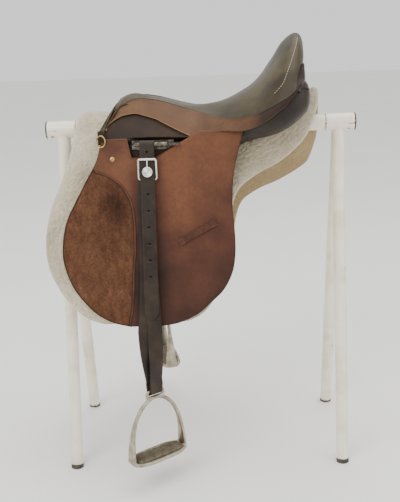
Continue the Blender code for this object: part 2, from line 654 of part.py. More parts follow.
    ring_b = [(0, -0.03), (hanger_radius + gap, -0.03), (hanger_radius + gap, 0.03), (0, 0.03)]
    inside = turned(own("cut_hanger"), ring_b, bar_at, out_dir, None, 32, False, cutters)
    cut(leather, inside)
    cut(tail, inside)
    slot_pts = slope_point(bar_x, np.array([0.040, 0.0680]), tail_d, sy)
    cut(tail, ribbon(own("cut_slot"), slot_pts, np.tile((1, 0, 0), (2, 1)), 0.02, None,
                     half=0.0028, group=cutters))

    # buckle: an open frame leaning forward over the tail, with a tongue and its round boss
    wire = 0.0018
    low_d = mid_d
    high_d = tail_d + strap_thick / 2 + gap + wire
    half_w = strap_width / 2 + 0.0006 + wire
    corner = 0.004
    frame_xy = []
    for cx, cs, first in ((half_w - corner, buckle_low - corner, 0),
                          (-half_w + corner, buckle_low - corner, 90),
                          (-half_w + corner, buckle_high + corner, 180),
                          (half_w - corner, buckle_high + corner, 270)):
        for v in np.radians(np.linspace(first, first + 90, 4)):
            frame_xy.append((cx + corner * math.cos(v), cs + corner * math.sin(v)))
    frame_xy = np.array(frame_xy)
    lean = (buckle_low - frame_xy[:, 1]) / (buckle_low - buckle_high)
    frame_pts = slope_point(bar_x + frame_xy[:, 0], frame_xy[:, 1],
                            low_d + (high_d - low_d) * lean, sy)
    rod(own("buckle_frame"), frame_pts, wire, "nickel", 8, closed=True, width_dir=out_dir)
    pivot = slope_point(bar_x, buckle_low, low_d, sy)
    path_s = np.array([buckle_low - wire - gap, 0.058, 0.050, 0.040, buckle_high - 0.001])
    path_d = np.array([low_d, low_d + 0.0014, tail_d + 0.0018, tail_d + 0.0038,
                       high_d + wire + gap + 0.0013])
    rod(own("buckle_tongue"), slope_point(bar_x, path_s, path_d, sy), 0.0013, "nickel", 8,
        origin=tuple(pivot), width_dir=(1, 0, 0))
    turned(own("buckle_boss"), [(0, 0), (0.0092, 0), (0.0100, 0.0008), (0.0092, 0.0018), (0, 0.0022)],
           slope_point(bar_x, 0.0535, tail_d + 0.0042, sy), out_dir, "nickel", 20, False)

    # iron: eye bar, arch and foot, with a rubber tread let into the foot
    eye, _ = twisted(np.array([eye_s]), np.array([mid_line]), np.zeros(1))
    eye = eye[0]
    wx = np.array((math.cos(turn_end), -sy * math.sin(turn_end), 0))
    wy = np.cross((0, 0, 1), wx)

    def iron_point(a, b, c):
        """a across the iron, b through it, c up from the eye's axis."""
        return eye + np.multiply.outer(a, wx) + np.multiply.outer(b, wy) + np.multiply.outer(c, (0, 0, 1))

    rise = iron_height - 0.010
    v = np.linspace(0, math.pi, 19)
    arch_a = -(iron_width / 2 + 0.003) * np.cos(v) * (1 - 0.10 * np.sin(v) ** 6)
    arch_c = -iron_height + 0.012 + (rise - 0.016) * np.sin(v) ** 0.80
    thick = 0.0058 - 0.0014 * np.sin(v)
    arch = rod(own("iron"), iron_point(arch_a, 0 * v, arch_c), thick, "nickel", 8, flat=1.0,
               origin=tuple(eye), width_dir=wy)
    eye_half = strap_width / 2 + 0.0028
    eye_low = -0.0135
    eye_ring = []
    for ca, cc, first in ((eye_half - 0.001, -0.003, 0), (-eye_half + 0.001, -0.003, 90),
                          (-eye_half + 0.001, eye_low + 0.003, 180),
                          (eye_half - 0.001, eye_low + 0.003, 270)):
        for w in np.radians(np.linspace(first, first + 90, 3)):
            eye_ring.append((ca + 0.003 * math.cos(w), cc + 0.003 * math.sin(w)))
    eye_ring = np.array(eye_ring)
    fuse(arch, rod(own("fuse_eye"), iron_point(eye_ring[:, 0], 0 * eye_ring[:, 0], eye_ring[:, 1]),
                   eye_radius, None, 8, closed=True, group=cutters, width_dir=wy))
    foot_c = -iron_height + 0.0085
    rim_v = np.linspace(0, 2 * math.pi, 24, endpoint=False)
    rim_a = (iron_width / 2 + 0.0025) * np.sign(np.cos(rim_v)) * np.abs(np.cos(rim_v)) ** 0.45
    rim_b = iron_foot / 2 * np.sign(np.sin(rim_v)) * np.abs(np.sin(rim_v)) ** 0.7
    fuse(arch, rod(own("fuse_foot"), iron_point(rim_a, rim_b, foot_c + 0 * rim_v), 0.0042, None, 8,
                   closed=True, group=cutters, width_dir=(0, 0, 1)))
    tread_loops = []
    for c, fit in ((-0.0060, 0.97), (-0.0045, 1.0), (0.0055, 1.0), (0.0070, 0.96)):
        inner_a = iron_width / 2 + 0.0025 - 0.0042 - gap - 0.0016
        inner_b = iron_foot / 2 - 0.0042 - gap - 0.0006
        ta = inner_a * fit * np.sign(np.cos(rim_v)) * np.abs(np.cos(rim_v)) ** 0.45
        tb = inner_b * fit * np.sign(np.sin(rim_v)) * np.abs(np.sin(rim_v)) ** 0.7
        tread_loops.append(iron_point(ta, tb, foot_c + c + 0 * rim_v))
    rings(own("iron_tread"), tread_loops, "rubber")

    # dee and its leather tab on the pommel
    dee_at = np.array((-0.1925 * long, sy * (saddle_spread - 0.0060), base_z + 0.7005))
    v = np.linspace(0, 2 * math.pi, 20, endpoint=False)
    dee = np.stack([0.0078 * np.cos(v), 0 * v, -0.0105 + 0.0110 * np.sin(v)], axis=-1)
    rod(own("dee"), dee_at + dee, 0.0014, "brass", 6, closed=True, origin=tuple(dee_at),
        width_dir=(0, 1, 0))

    # girth loop on the numnah's front lower corner
    tab_s = np.array([0.0, 0.5, 1.0])
    edge = pad_surface(np.array([-0.214 * long]), np.array([sy * (0.397 if sy < 0 else 0.47)]))[0]
    tab = np.stack([edge[0] + 0 * tab_s, edge[1] + sy * (0.0092 + 0.0 * tab_s),
                    edge[2] + 0.030 - 0.040 * tab_s], axis=-1)
    ribbon(own("numnah_loop"), tab, np.tile((1, 0, 0), (3, 1)), 0.002, "fleece", half=0.011)
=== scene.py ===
# English riding saddle with a fleece numnah, on a white tubular trestle stand: the looks.
import json
import math

import bmesh
import bpy
import numpy as np
from mathutils import Matrix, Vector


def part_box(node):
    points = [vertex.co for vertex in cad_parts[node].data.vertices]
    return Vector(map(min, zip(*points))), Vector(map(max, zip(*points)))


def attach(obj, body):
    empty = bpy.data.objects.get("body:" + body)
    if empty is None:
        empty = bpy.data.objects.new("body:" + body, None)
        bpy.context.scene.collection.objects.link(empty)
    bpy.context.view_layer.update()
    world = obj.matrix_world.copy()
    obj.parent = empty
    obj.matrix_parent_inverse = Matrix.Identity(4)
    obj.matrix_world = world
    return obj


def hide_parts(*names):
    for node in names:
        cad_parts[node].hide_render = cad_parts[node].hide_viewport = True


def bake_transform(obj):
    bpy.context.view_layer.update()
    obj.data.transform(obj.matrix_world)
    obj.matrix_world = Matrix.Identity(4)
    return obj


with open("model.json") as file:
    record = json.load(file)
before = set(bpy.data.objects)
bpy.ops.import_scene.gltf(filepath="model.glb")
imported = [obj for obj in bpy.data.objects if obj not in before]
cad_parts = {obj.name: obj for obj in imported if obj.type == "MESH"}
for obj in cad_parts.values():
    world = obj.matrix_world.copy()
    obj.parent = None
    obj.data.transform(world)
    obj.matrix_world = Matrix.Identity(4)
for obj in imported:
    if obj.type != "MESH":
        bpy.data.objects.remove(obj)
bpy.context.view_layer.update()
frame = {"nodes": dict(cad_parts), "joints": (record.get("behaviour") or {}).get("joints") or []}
jointAt = {joint["name"]: joint for joint in frame["joints"]}
sides = {"near": -1, "far": 1}
mm = 0.001

# camera: a little to the near side's front, looking slightly down at the whole object
cameraSet = {
    "place": (0.0290, -1.7541, 0.9571),
    "right": (0.99943646, 0.01231, -0.03122877),
    "up": (0.02636779, 0.28781862, 0.95732188),
    "lens": 61.163,
}


# shapes: every function works on whole arrays

def curvePoint(keys, share):
    # Catmull-Rom curve through the keys: cubic between two neighbours, with half their chord as slope
    keys = np.asarray(keys, float)
    t = np.asarray(share, float) * (len(keys) - 1)
    i = np.clip(t.astype(int), 0, len(keys) - 2)
    f = (t - i)[..., None]
    ends = np.vstack([2 * keys[0] - keys[1], keys, 2 * keys[-1] - keys[-2]])
    a, b, c, d = ends[i], ends[i + 1], ends[i + 2], ends[i + 3]
    bend = (2 * a - 5 * b + 4 * c - d) * f**2 + (3 * b - a - 3 * c + d) * f**3
    return b + 0.5 * ((c - a) * f + bend)


def runOf(path):
    # the way covered along a path up to each of its points
    return np.concatenate([[0], np.cumsum(np.linalg.norm(np.diff(path, axis=0), axis=1))])


def evenPath(points, step):
    # the same path with a point every step, smoothed through its own points
    fine = curvePoint(points, np.linspace(0, 1, 24 * len(points)))
    run = runOf(fine)
    want = np.linspace(0, run[-1], max(3, int(run[-1] / step) + 1))
    return np.stack([np.interp(want, run, fine[:, k]) for k in range(fine.shape[1])], axis=-1)


def unit(v):
    return v / np.maximum(np.linalg.norm(v, axis=-1, keepdims=True), 1e-12)


def turns(count):
    # angles evenly round a circle
    return np.linspace(0, 2 * math.pi, count, endpoint=False)


def rounded(wave, power):
    # a sine or cosine pulled towards a square wave: its size raised to a power below 1, its sign kept
    return np.sign(wave) * np.abs(wave) ** power


def ramped(value, start, reach):
    # 0 at the start, rising evenly to 1 over the reach
    return np.clip((value - start) / reach, 0, 1)


def bell(value, width):
    # 1 at nothing, falling off to both sides over about the width
    return np.exp(-(value / width) ** 2)


def boxOf(node):
    return [np.array(corner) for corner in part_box(node)]


def hingeOf(side):
    # the stirrup bar's hinge: its place, and the direction out of the flap
    hinge = jointAt["leather_swing_fore_aft_" + side]
    return np.array(hinge["pos_m"]), np.array(hinge["axis"])


def slopePoint(x, s, d, side):
    # a place by x, its distance s down the flap's slope from the stirrup bar, and d outwards from it
    place, out = hingeOf(side)
    down = -sides[side] * np.cross((1, 0, 0), out)
    base = place * (0, 1, 1)
    x, s, d = (np.asarray(v, float)[..., None] for v in np.broadcast_arrays(x, s, d))
    return base + x * np.array((1, 0, 0)) + s * down + d * out


def gridData(grid, wrap=False):
    # four-sided faces between neighbours of a rows by columns grid; wrap joins the last column to the first
    rows, cols = grid.shape[:2]
    i = np.arange(rows - 1)[:, None] * cols
    j = np.arange(cols if wrap else cols - 1)[None, :]
    k = (j + 1) % cols
    faces = np.stack([i + j, i + k, i + k + cols, i + j + cols], axis=-1).reshape(-1, 4)
    return grid.reshape(-1, 3), faces


def cappedData(grid):
    # a tube's grid closed at both ends, by running its first and last ring together in their middles
    ends = [np.tile(end.mean(axis=0), (1, grid.shape[1], 1)) for end in (grid[0], grid[-1])]
    return gridData(np.concatenate([ends[0], grid, ends[1]]), wrap=True)


def joinData(*pieces):
    starts = np.cumsum([0] + [len(p) for p, _ in pieces])
    return (np.concatenate([p for p, _ in pieces]),
            np.concatenate([f + start for (_, f), start in zip(pieces, starts)]))


def edgeStops(count, length, radius):
    # shares 0..1 along a sheet, close together at both ends, where the edge is rounded
    near = radius / length * (1 - np.cos(np.linspace(0, math.pi / 2, 5)))
    return np.concatenate([near[:-1], np.linspace(near[-1], 1 - near[-1], count), 1 - near[:-1][::-1]])


def sheetData(surface, counts, size, thick, columns=None):
    # closed leather sheet: the middle surface moved half the thickness to both sides along its normals,
    # where that half falls to nothing as a quarter circle at all four edges
    radius = float(np.max(thick)) / 2
    u = edgeStops(counts[0], size[0], radius)
    v = edgeStops(counts[1], size[1], radius) if columns is None else columns
    middle = surface(*np.meshgrid(u, v, indexing="ij"))
    normal = unit(np.cross(np.gradient(middle, axis=0), np.gradient(middle, axis=1)))
    falls = []
    for share, length in ((u, size[0]), (v, size[1])):
        inside = np.clip(np.minimum(share, 1 - share) * length / radius, 0, 1)
        falls.append(np.sqrt(np.clip(1 - (1 - inside) ** 2, 0, 1)))
    half = (thick / 2 * np.minimum(falls[0][:, None], falls[1][None, :]))[..., None]
    return joinData(gridData(middle + normal * half), gridData(middle - normal * half))


def tubeData(path, radius, facing, sidesCount=12, flat=1.0, closed=False):
    # a round or oval rod: a circle carried along the path, set square to it; flat scales it across facing
    path = np.asarray(path, float)
    radius = np.broadcast_to(np.asarray(radius, float), (len(path),))
    if closed:
        tangent = np.roll(path, -1, 0) - np.roll(path, 1, 0)
    else:
        tangent = np.gradient(path, axis=0)
        dome = np.array([[0.999, 0.0], [0.85, 0.55], [0.5, 0.87]])
        lead, tail = unit(tangent[0]), unit(tangent[-1])
        path = np.concatenate([path[:1] - lead * radius[0] * dome[:, :1], path,
                               path[-1:] + tail * radius[-1] * dome[::-1, :1]])
        radius = np.concatenate([radius[0] * dome[:, 1], radius, radius[-1] * dome[::-1, 1]])
        tangent = np.concatenate([np.tile(tangent[:1], (3, 1)), tangent, np.tile(tangent[-1:], (3, 1))])
    tangent = unit(tangent)
    facing = np.asarray(facing, float)
    if facing.ndim == 2 and len(facing) != len(path):
        facing = np.concatenate([np.tile(facing[:1], (3, 1)), facing, np.tile(facing[-1:], (3, 1))])
    across = unit(np.cross(tangent, facing))
    out = np.cross(across, tangent)
    turn = turns(sidesCount)
    ring = np.cos(turn)[:, None] * across[:, None] + flat * np.sin(turn)[:, None] * out[:, None]
    grid = path[:, None] + radius[:, None, None] * ring
    if closed:
        grid = np.concatenate([grid, grid[:1]])
    return gridData(grid, wrap=True)


def strapData(path, width, half, thick, normal=None):
    # a flat strap: a rectangle with round corners carried along the path; width is its sideways direction
    path, width = np.asarray(path, float), np.asarray(width, float)
    half = np.broadcast_to(np.asarray(half, float), (len(path),))
    if normal is None:
        normal = unit(np.cross(np.gradient(path, axis=0), width))
    turn = turns(28)
    corner = 0.42 * thick
    cx = rounded(np.cos(turn), 0.5)
    cy = rounded(np.sin(turn), 0.5)
    across = (half[:, None] - corner) * np.sign(cx) * np.minimum(1, np.abs(cx) * 1.25) + corner * cx
    grid = (path[:, None] + across[..., None] * width[:, None]
            + (thick / 2 * cy)[None, :, None] * normal[:, None])
    return cappedData(grid)


def turnedData(profile, start, axis, count=48):
    # a turned shape: profile of (radius, distance along the axis), swept once round it
    profile = np.asarray(profile, float)
    axis = unit(np.asarray(axis, float))
    side = unit(np.cross((0, 0, 1) if abs(axis[2]) < 0.9 else (1, 0, 0), axis))
    third = np.cross(axis, side)
    turn = turns(count)
    ring = np.cos(turn)[:, None] * side + np.sin(turn)[:, None] * third
    grid = np.asarray(start) + profile[:, None, :1] * ring[None] + profile[:, None, 1:] * axis
    return gridData(grid, wrap=True)


def stitchData(path, normal, pitch=4.2 * mm, length=3.0 * mm, radius=0.45 * mm):
    # a row of stitches: one small spindle per stitch, laid along the path and half sunk in the leather
    points = evenPath(path, pitch)
    along = unit(np.gradient(points, axis=0))
    normal = np.broadcast_to(np.asarray(normal, float), points.shape)
    across = unit(np.cross(along, normal))
    share = np.linspace(-1, 1, 5)
    turn = turns(6)
    belly = np.sqrt(np.clip(1 - share**4, 0, 1))
    local = np.stack([np.repeat(share * length / 2, 6), (belly[:, None] * np.cos(turn)).ravel() * radius,
                      (belly[:, None] * np.sin(turn)).ravel() * radius], axis=-1)
    world = (points[:, None] + local[None, :, :1] * along[:, None] + local[None, :, 1:2] * across[:, None]
             + local[None, :, 2:] * normal[:, None])
    faces = gridData(np.zeros((5, 6, 3)), wrap=True)[1]
    every = faces[None] + (np.arange(len(points)) * 30)[:, None, None]
    return world.reshape(-1, 3), every.reshape(-1, 4)


def waves(points, size, seed, count=48):
    # smooth noise near -1..1: the sum of plane waves in random directions, with lengths around size
    rng = np.random.default_rng(seed)
    direction = unit(rng.normal(size=(count, 3)))
    number = 2 * math.pi / (size * rng.uniform(0.75, 1.35, count))
    phase = rng.uniform(0, 2 * math.pi, count)
    return np.cos(points @ (direction * number[:, None]).T + phase).sum(-1) * math.sqrt(2 / count)


def borderDistance(points, border):
    # each point's distance to the nearest border point
    nearest = np.empty(len(points))
    for start in range(0, len(points), 4000):
        part = points[start:start + 4000]
        nearest[start:start + 4000] = np.sqrt(((part[:, None] - border[None]) ** 2).sum(-1)).min(1)
    return nearest


def addPiece(name, data, look, body, replaces=(), attributes=None, blend=None, weld=1e-6):
    # puts points and faces into a mesh, merges doubles, turns faces outwards, and fixes it to its body
    points, faces = data
    mesh = bpy.data.meshes.new(name)
    mesh.vertices.add(len(points))
    mesh.vertices.foreach_set("co", np.ascontiguousarray(points, np.float32).ravel())
    mesh.loops.add(faces.size)
    mesh.loops.foreach_set("vertex_index", np.ascontiguousarray(faces, np.int32).ravel())
    mesh.polygons.add(len(faces))
    mesh.polygons.foreach_set("loop_start", np.arange(0, faces.size, 4, dtype=np.int32))
    mesh.update(calc_edges=True)
    for label, values in (attributes or {}).items():
        layer = mesh.attributes.new(label, "FLOAT", "POINT")
        layer.data.foreach_set("value", np.ascontiguousarray(values, np.float32))
    bm = bmesh.new()
    bm.from_mesh(mesh)
    bmesh.ops.remove_doubles(bm, verts=bm.verts, dist=weld)
    loose = [f for f in bm.faces if f.calc_area() < 1e-13]
    bmesh.ops.dissolve_degenerate(bm, dist=1e-7, edges=[e for f in loose for e in f.edges])
    bmesh.ops.recalc_face_normals(bm, faces=bm.faces)
    bm.to_mesh(mesh)
    bm.free()
    mesh.shade_smooth()
    mesh.set_sharp_from_angle(angle=math.radians(50))
    mesh.materials.append(look)
    obj = bpy.data.objects.new(name, mesh)
    bpy.context.scene.collection.objects.link(obj)
    if blend:
        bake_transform(obj)
    else:
        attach(obj, body)
    if replaces:
        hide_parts(*replaces)
    return obj


# materials

def linear(hexColour):
    # sRGB hex to linear light
    parts = [int(hexColour[i:i + 2], 16) / 255 for i in (1, 3, 5)]
    return tuple(((c + 0.055) / 1.055) ** 2.4 if c > 0.04045 else c / 12.92 for c in parts) + (1.0,)


def addNode(tree, kind, links=None, values=None, **settings):
    # one node: settings on the node, values on its sockets, links from other nodes' outputs
    made = tree.nodes.new("ShaderNode" + kind)
    for key, value in settings.items():
        setattr(made, key, value)
    for key, value in (values or {}).items():
        made.inputs[key].default_value = value
    for key, output in (links or {}).items():
        tree.links.new(output, made.inputs[key])
    return made


def newMaterial(name, rough, metal=0.0, **sockets):
    made = bpy.data.materials.new(name)
    made.use_nodes = True
    tree = made.node_tree
    shader = tree.nodes["Principled BSDF"]
    shader.inputs["Roughness"].default_value = rough
    shader.inputs["Metallic"].default_value = metal
    for key, value in sockets.items():
        shader.inputs[key.replace("_", " ")].default_value = value
    place = addNode(tree, "TexCoord").outputs["Object"]
    return made, tree, shader, place


def rampNode(tree, factor, stops):
    ramp = addNode(tree, "ValToRGB", {"Fac": factor})
    while len(ramp.color_ramp.elements) < len(stops):
        ramp.color_ramp.elements.new(0.5)
    for element, (where, colour) in zip(ramp.color_ramp.elements, stops):
        element.position = where
        element.color = colour if isinstance(colour, tuple) else (colour, colour, colour, 1)
    return ramp.outputs["Color"]


def mixNode(tree, factor, a, b, mode="MIX"):
    mixed = addNode(tree, "Mix", data_type="RGBA", blend_type=mode)
    for key, value in (("Factor", factor), ("A", a), ("B", b)):
        socket = next(s for s in mixed.inputs if s.name == key and s.enabled)
        if isinstance(value, bpy.types.NodeSocket):
            tree.links.new(value, socket)
        else:
            socket.default_value = value
    return next(s for s in mixed.outputs if s.enabled)


def noiseNode(tree, place, size, detail, rough=0.5, **more):
    # cloudy noise with patches of about the size
    values = {"Scale": 1 / size, "Detail": detail, "Roughness": rough} | more
    return addNode(tree, "TexNoise", {"Vector": place}, values).outputs["Fac"]


def layerNode(tree, label):
    # a value painted on the piece's points
    return addNode(tree, "Attribute", attribute_name=label).outputs["Fac"]


def mathNode(tree, a, b, mode="ADD"):
    made = addNode(tree, "Math", {0: a}, operation=mode)
    if isinstance(b, bpy.types.NodeSocket):
        tree.links.new(b, made.inputs[1])
    else:
        made.inputs[1].default_value = b
    return made.outputs[0]


def coat(tree, shader, colour, height=None, strength=0.0, depth=0.0, gloss=None):
    # the shader's colour, its bump of the given depth, and its roughness
    tree.links.new(colour, shader.inputs["Base Color"])
    if height is not None:
        bump = addNode(tree, "Bump", {"Height": height}, {"Strength": strength, "Distance": depth})
        tree.links.new(bump.outputs["Normal"], shader.inputs["Normal"])
    if gloss is not None:
        tree.links.new(gloss, shader.inputs["Roughness"])


def glossNode(tree, factor, low, high, dull, bright):
    # roughness from dull to bright while the factor runs from low to high
    values = {"From Min": low, "From Max": high, "To Min": dull, "To Max": bright}
    return addNode(tree, "MapRange", {"Value": factor}, values).outputs["Result"]


def leather(name, dark, middle, light, grain, rough, wax=0.0, mottle=70 * mm, depth=0.12 * mm,
            edge="#2a1c14", toned=False):
    # vegetable-tanned cowhide: fine cells of grain in the bump, cloudy tone from dye and handling,
    # darker burnished edges where the sheet carries a rim attribute
    made, tree, shader, place = newMaterial(name, rough, Coat_Weight=wax, Coat_Roughness=0.28,
                                            Specular_IOR_Level=0.24)
    tone = noiseNode(tree, place, mottle, 5, 0.55)
    if toned:
        calm = mathNode(tree, tone, 0.6, "MULTIPLY")
        tone = mathNode(tree, mathNode(tree, calm, layerNode(tree, "tone")), 0.3, "SUBTRACT")
    colour = rampNode(tree, tone, [(0.28, linear(dark)), (0.50, linear(middle)), (0.74, linear(light))])
    speck = noiseNode(tree, place, 4 * grain, 6, 0.7)
    fine = rampNode(tree, speck, [(0.3, 0.80), (0.7, 1.12)])
    colour = mixNode(tree, 1.0, colour, fine, "MULTIPLY")
    colour = mixNode(tree, layerNode(tree, "rim"), colour, linear(edge))
    cells = addNode(tree, "TexVoronoi", {"Vector": place}, {"Scale": 1 / grain}, feature="DISTANCE_TO_EDGE")
    cell = rampNode(tree, cells.outputs["Distance"], [(0.0, 0.0), (0.14, 1.0)])
    height = mixNode(tree, 0.45, cell, speck.node.outputs["Color"])
    coat(tree, shader, colour, height, 0.55, depth,
         glossNode(tree, speck, 0.25, 0.75, rough - 0.07, rough + 0.10))
    return made


def suede():
    # napped suede: matt, short fibres brushed both ways, rubbed darker where the knee lies
    made, tree, shader, place = newMaterial("nappedSuede", 0.88, Sheen_Weight=0.05, Sheen_Roughness=0.45,
                                            Specular_IOR_Level=0.15, Sheen_Tint=linear("#b98a63"))
    brushed = addNode(tree, "Mapping", {"Vector": place}, {"Rotation": (0, 0.5, 0), "Scale": (1.0, 1.0, 0.45)})
    nap = noiseNode(tree, brushed.outputs["Vector"], 16 * mm, 10, 0.78)
    tone = mathNode(tree, mathNode(tree, nap, layerNode(tree, "tone")), 0.5, "SUBTRACT")
    colour = rampNode(tree, tone, [(0.16, linear("#2c1a11")), (0.44, linear("#4a2f20")),
                                   (0.62, linear("#5c3d2a")), (0.95, linear("#87664b"))])
    flecks = rampNode(tree, noiseNode(tree, place, 4.5 * mm, 4, 0.8), [(0.36, 0.74), (0.64, 1.22)])
    colour = mixNode(tree, 1.0, colour, flecks, "MULTIPLY")
    colour = mixNode(tree, layerNode(tree, "rim"), colour, linear("#1f120a"))
    coat(tree, shader, colour, noiseNode(tree, place, 1.1 * mm, 4), 0.7, 0.4 * mm)
    return made


def fleece(name, low, high, grey):
    # woolly pile: matt curls of fibre, light at their tips, with painted shade making them warmer and darker down
    # between them
    made, tree, shader, place = newMaterial(name, 0.95, Sheen_Weight=0.4, Sheen_Roughness=0.6,
                                            Specular_IOR_Level=0.2)
    # painted shade: low pile values, down between the curls, take the darker, warmer colour
    colour = rampNode(tree, layerNode(tree, "pile"), [(0.0, linear(low)), (0.30, linear(high)),
                                                      (1.0, linear(high))])
    dirt = rampNode(tree, noiseNode(tree, place, 110 * mm, 4), [(0.38, 0.0), (0.68, 0.75)])
    colour = mixNode(tree, dirt, colour, linear(grey))
    curl = noiseNode(tree, place, 3.2 * mm, 5, Distortion=1.5)
    # painted shade: the colour darkened where the curl noise is low, between the curls
    between = rampNode(tree, curl, [(0.30, 0.62), (0.58, 1.06)])
    colour = mixNode(tree, 0.8, colour, between, "MULTIPLY")
    coat(tree, shader, colour, curl, 1.0, 1.6 * mm)
    return made


def enamel():
    # white gloss enamel brushed on steel tube: faint ripple, yellowed in patches, chipped to rust and dark
    # steel at the joints
    made, tree, shader, place = newMaterial("brushedEnamel", 0.30, Coat_Weight=0.35, Coat_Roughness=0.15)
    colour = rampNode(tree, noiseNode(tree, place, 60 * mm, 6, 0.6),
                      [(0.28, linear("#dccfad")), (0.50, linear("#efe7d2")), (0.75, linear("#f6f0e1"))])
    edge = mathNode(tree, noiseNode(tree, place, 5 * mm, 6, 0.65), layerNode(tree, "tone"))
    stain = rampNode(tree, edge, [(0.72, 0.0), (0.98, 0.75)])
    colour = mixNode(tree, stain, colour, linear("#a98f62"))
    chip = rampNode(tree, edge, [(0.985, 0.0), (1.0, 1.0)])
    colour = mixNode(tree, chip, colour, linear("#4a3524"))
    skin = noiseNode(tree, place, 14 * mm, 3)
    height = mixNode(tree, 0.5, skin.node.outputs["Color"], chip, "SUBTRACT")
    coat(tree, shader, colour, height, 0.35, 0.5 * mm)
    return made


def plated(name, colour, tarnish, rough):
    # plated or plain metal castings: polished once, now covered in fine hairlines and cloudy with handling
    made, tree, shader, place = newMaterial(name, rough, 1.0)
    cloud = noiseNode(tree, place, 16 * mm, 6, 0.6)
    tone = rampNode(tree, cloud, [(0.35, linear(tarnish)), (0.62, linear(colour))])
    line = addNode(tree, "Mapping", {"Vector": place}, {"Scale": (90, 900, 900)})
    scratch = noiseNode(tree, line.outputs["Vector"], 1.0, 3)
    coat(tree, shader, tone, scratch, 0.12, 0.1 * mm,
         glossNode(tree, cloud, 0.3, 0.7, rough + 0.14, rough - 0.05))
    return made


def rubber(name, colour, dust, rough=0.8):
    # moulded rubber, dusty in its hollows
    made, tree, shader, place = newMaterial(name, rough)
    cloud = noiseNode(tree, place, 9 * mm, 7, 0.7)
    tone = rampNode(tree, cloud, [(0.35, linear(colour)), (0.70, linear(dust))])
    coat(tree, shader, tone, cloud, 0.3, 0.3 * mm)
    return made


def thread(name, colour):
    # waxed linen thread, twisted: light, slightly soiled
    made, tree, shader, place = newMaterial(name, 0.7)
    base = linear(colour)
    darker = tuple(0.55 * c for c in base[:3]) + (1.0,)
    coat(tree, shader, rampNode(tree, noiseNode(tree, place, 1.5 * mm, 3), [(0.3, darker), (0.65, base)]))
    return made


def plywood():
    # laminated beech of the tree, sealed
    made, tree, shader, place = newMaterial("sealedBeech", 0.5)
    turned = addNode(tree, "Mapping", {"Vector": place}, {"Scale": (8, 70, 300)})
    grain = noiseNode(tree, turned.outputs["Vector"], 1.0, 6)
    coat(tree, shader, rampNode(tree, grain, [(0.35, linear("#6b4a2c")), (0.65, linear("#94704a"))]))
    return made


looks = {
    "seat": leather("waxedSeatHide", "#2b2417", "#3f3623", "#544a33", 1.5 * mm, 0.44, 0.06,
                    edge="#2b2014"),
    "skirt": leather("tanSkirtHide", "#28180d", "#50341c", "#68472a", 1.6 * mm, 0.50, 0.03,
                     mottle=80 * mm, edge="#a98862", toned=True),
    "flap": leather("redBrownFlapHide", "#241109", "#482718", "#673f27", 1.8 * mm, 0.52, 0.03,
                    mottle=95 * mm, edge="#25130b", toned=True),
    "lining": leather("plainLiningHide", "#1b110a", "#2a1c11", "#392817", 1.6 * mm, 0.60,
                      edge="#1f150d"),
    "panel": leather("stuffedPanelHide", "#150e09", "#211811", "#2e241a", 1.4 * mm, 0.38, 0.15),
    "edge": leather("rawHideEdge", "#75593d", "#927250", "#a58661", 1.2 * mm, 0.60),
    "strap": leather("oiledBridleHide", "#1b130d", "#2a2017", "#3a2e24", 1.1 * mm, 0.46, 0.05,
                     mottle=40 * mm, edge="#120d09"),
    "keeper": leather("keeperHide", "#2a150b", "#4a2a1a", "#643e27", 1.2 * mm, 0.52, mottle=30 * mm),
    "suede": suede(),
    "fleece": fleece("woolFleece", "#8d7d60", "#d6cab1", "#9c8e71"),
    # a darker, yellower copy of the fleece, used for the numnah's inner face, where it is painted shade, and for
    # the girth loops
    "under": fleece("shadedFleece", "#8a7553", "#b39b70", "#8c7650"),
    "paint": enamel(),
    "nickel": plated("satinNickel", "#efebe1", "#cbc5b8", 0.20),
    "casting": plated("brushedNickelCasting", "#b4ab98", "#8f8673", 0.34),
    "steel": plated("dullSteel", "#7f786c", "#231e18", 0.36),
    "brass": plated("agedBrass", "#c6a96b", "#76603a", 0.32),
    "tread": rubber("treadRubber", "#463f30", "#776d59"),
    "foot": rubber("footRubber", "#2b2823", "#55504a"),
    "cap": rubber("mouldedCap", "#161616", "#2c2b29", 0.5),
    "thread": thread("paleThread", "#cdbf9c"),
    "darkThread": thread("brownThread", "#6b4c33"),
    "wood": plywood(),
}
print("materials made:", len(looks))

# stand
beamLow, beamHigh = boxOf("stand_beam")
standSet = {
    "beamRadius": 16.4 * mm, "sleeveRadius": 17.6 * mm, "sleeve": 60 * mm,
    "legRadius": 12.7 * mm, "legInset": 33.5 * mm, "shoe": 7 * mm, "weld": 1.5 * mm,
}


def chipTone(points, spots, reach=7 * mm, strength=0.54):
    # 0 away from the listed spots, rising smoothly to strength at each
    tone = np.zeros(len(points))
    for spot in spots:
        distance = np.linalg.norm(points - np.array(spot), axis=1)
        tone = np.maximum(tone, strength * bell(distance, reach))
    return tone


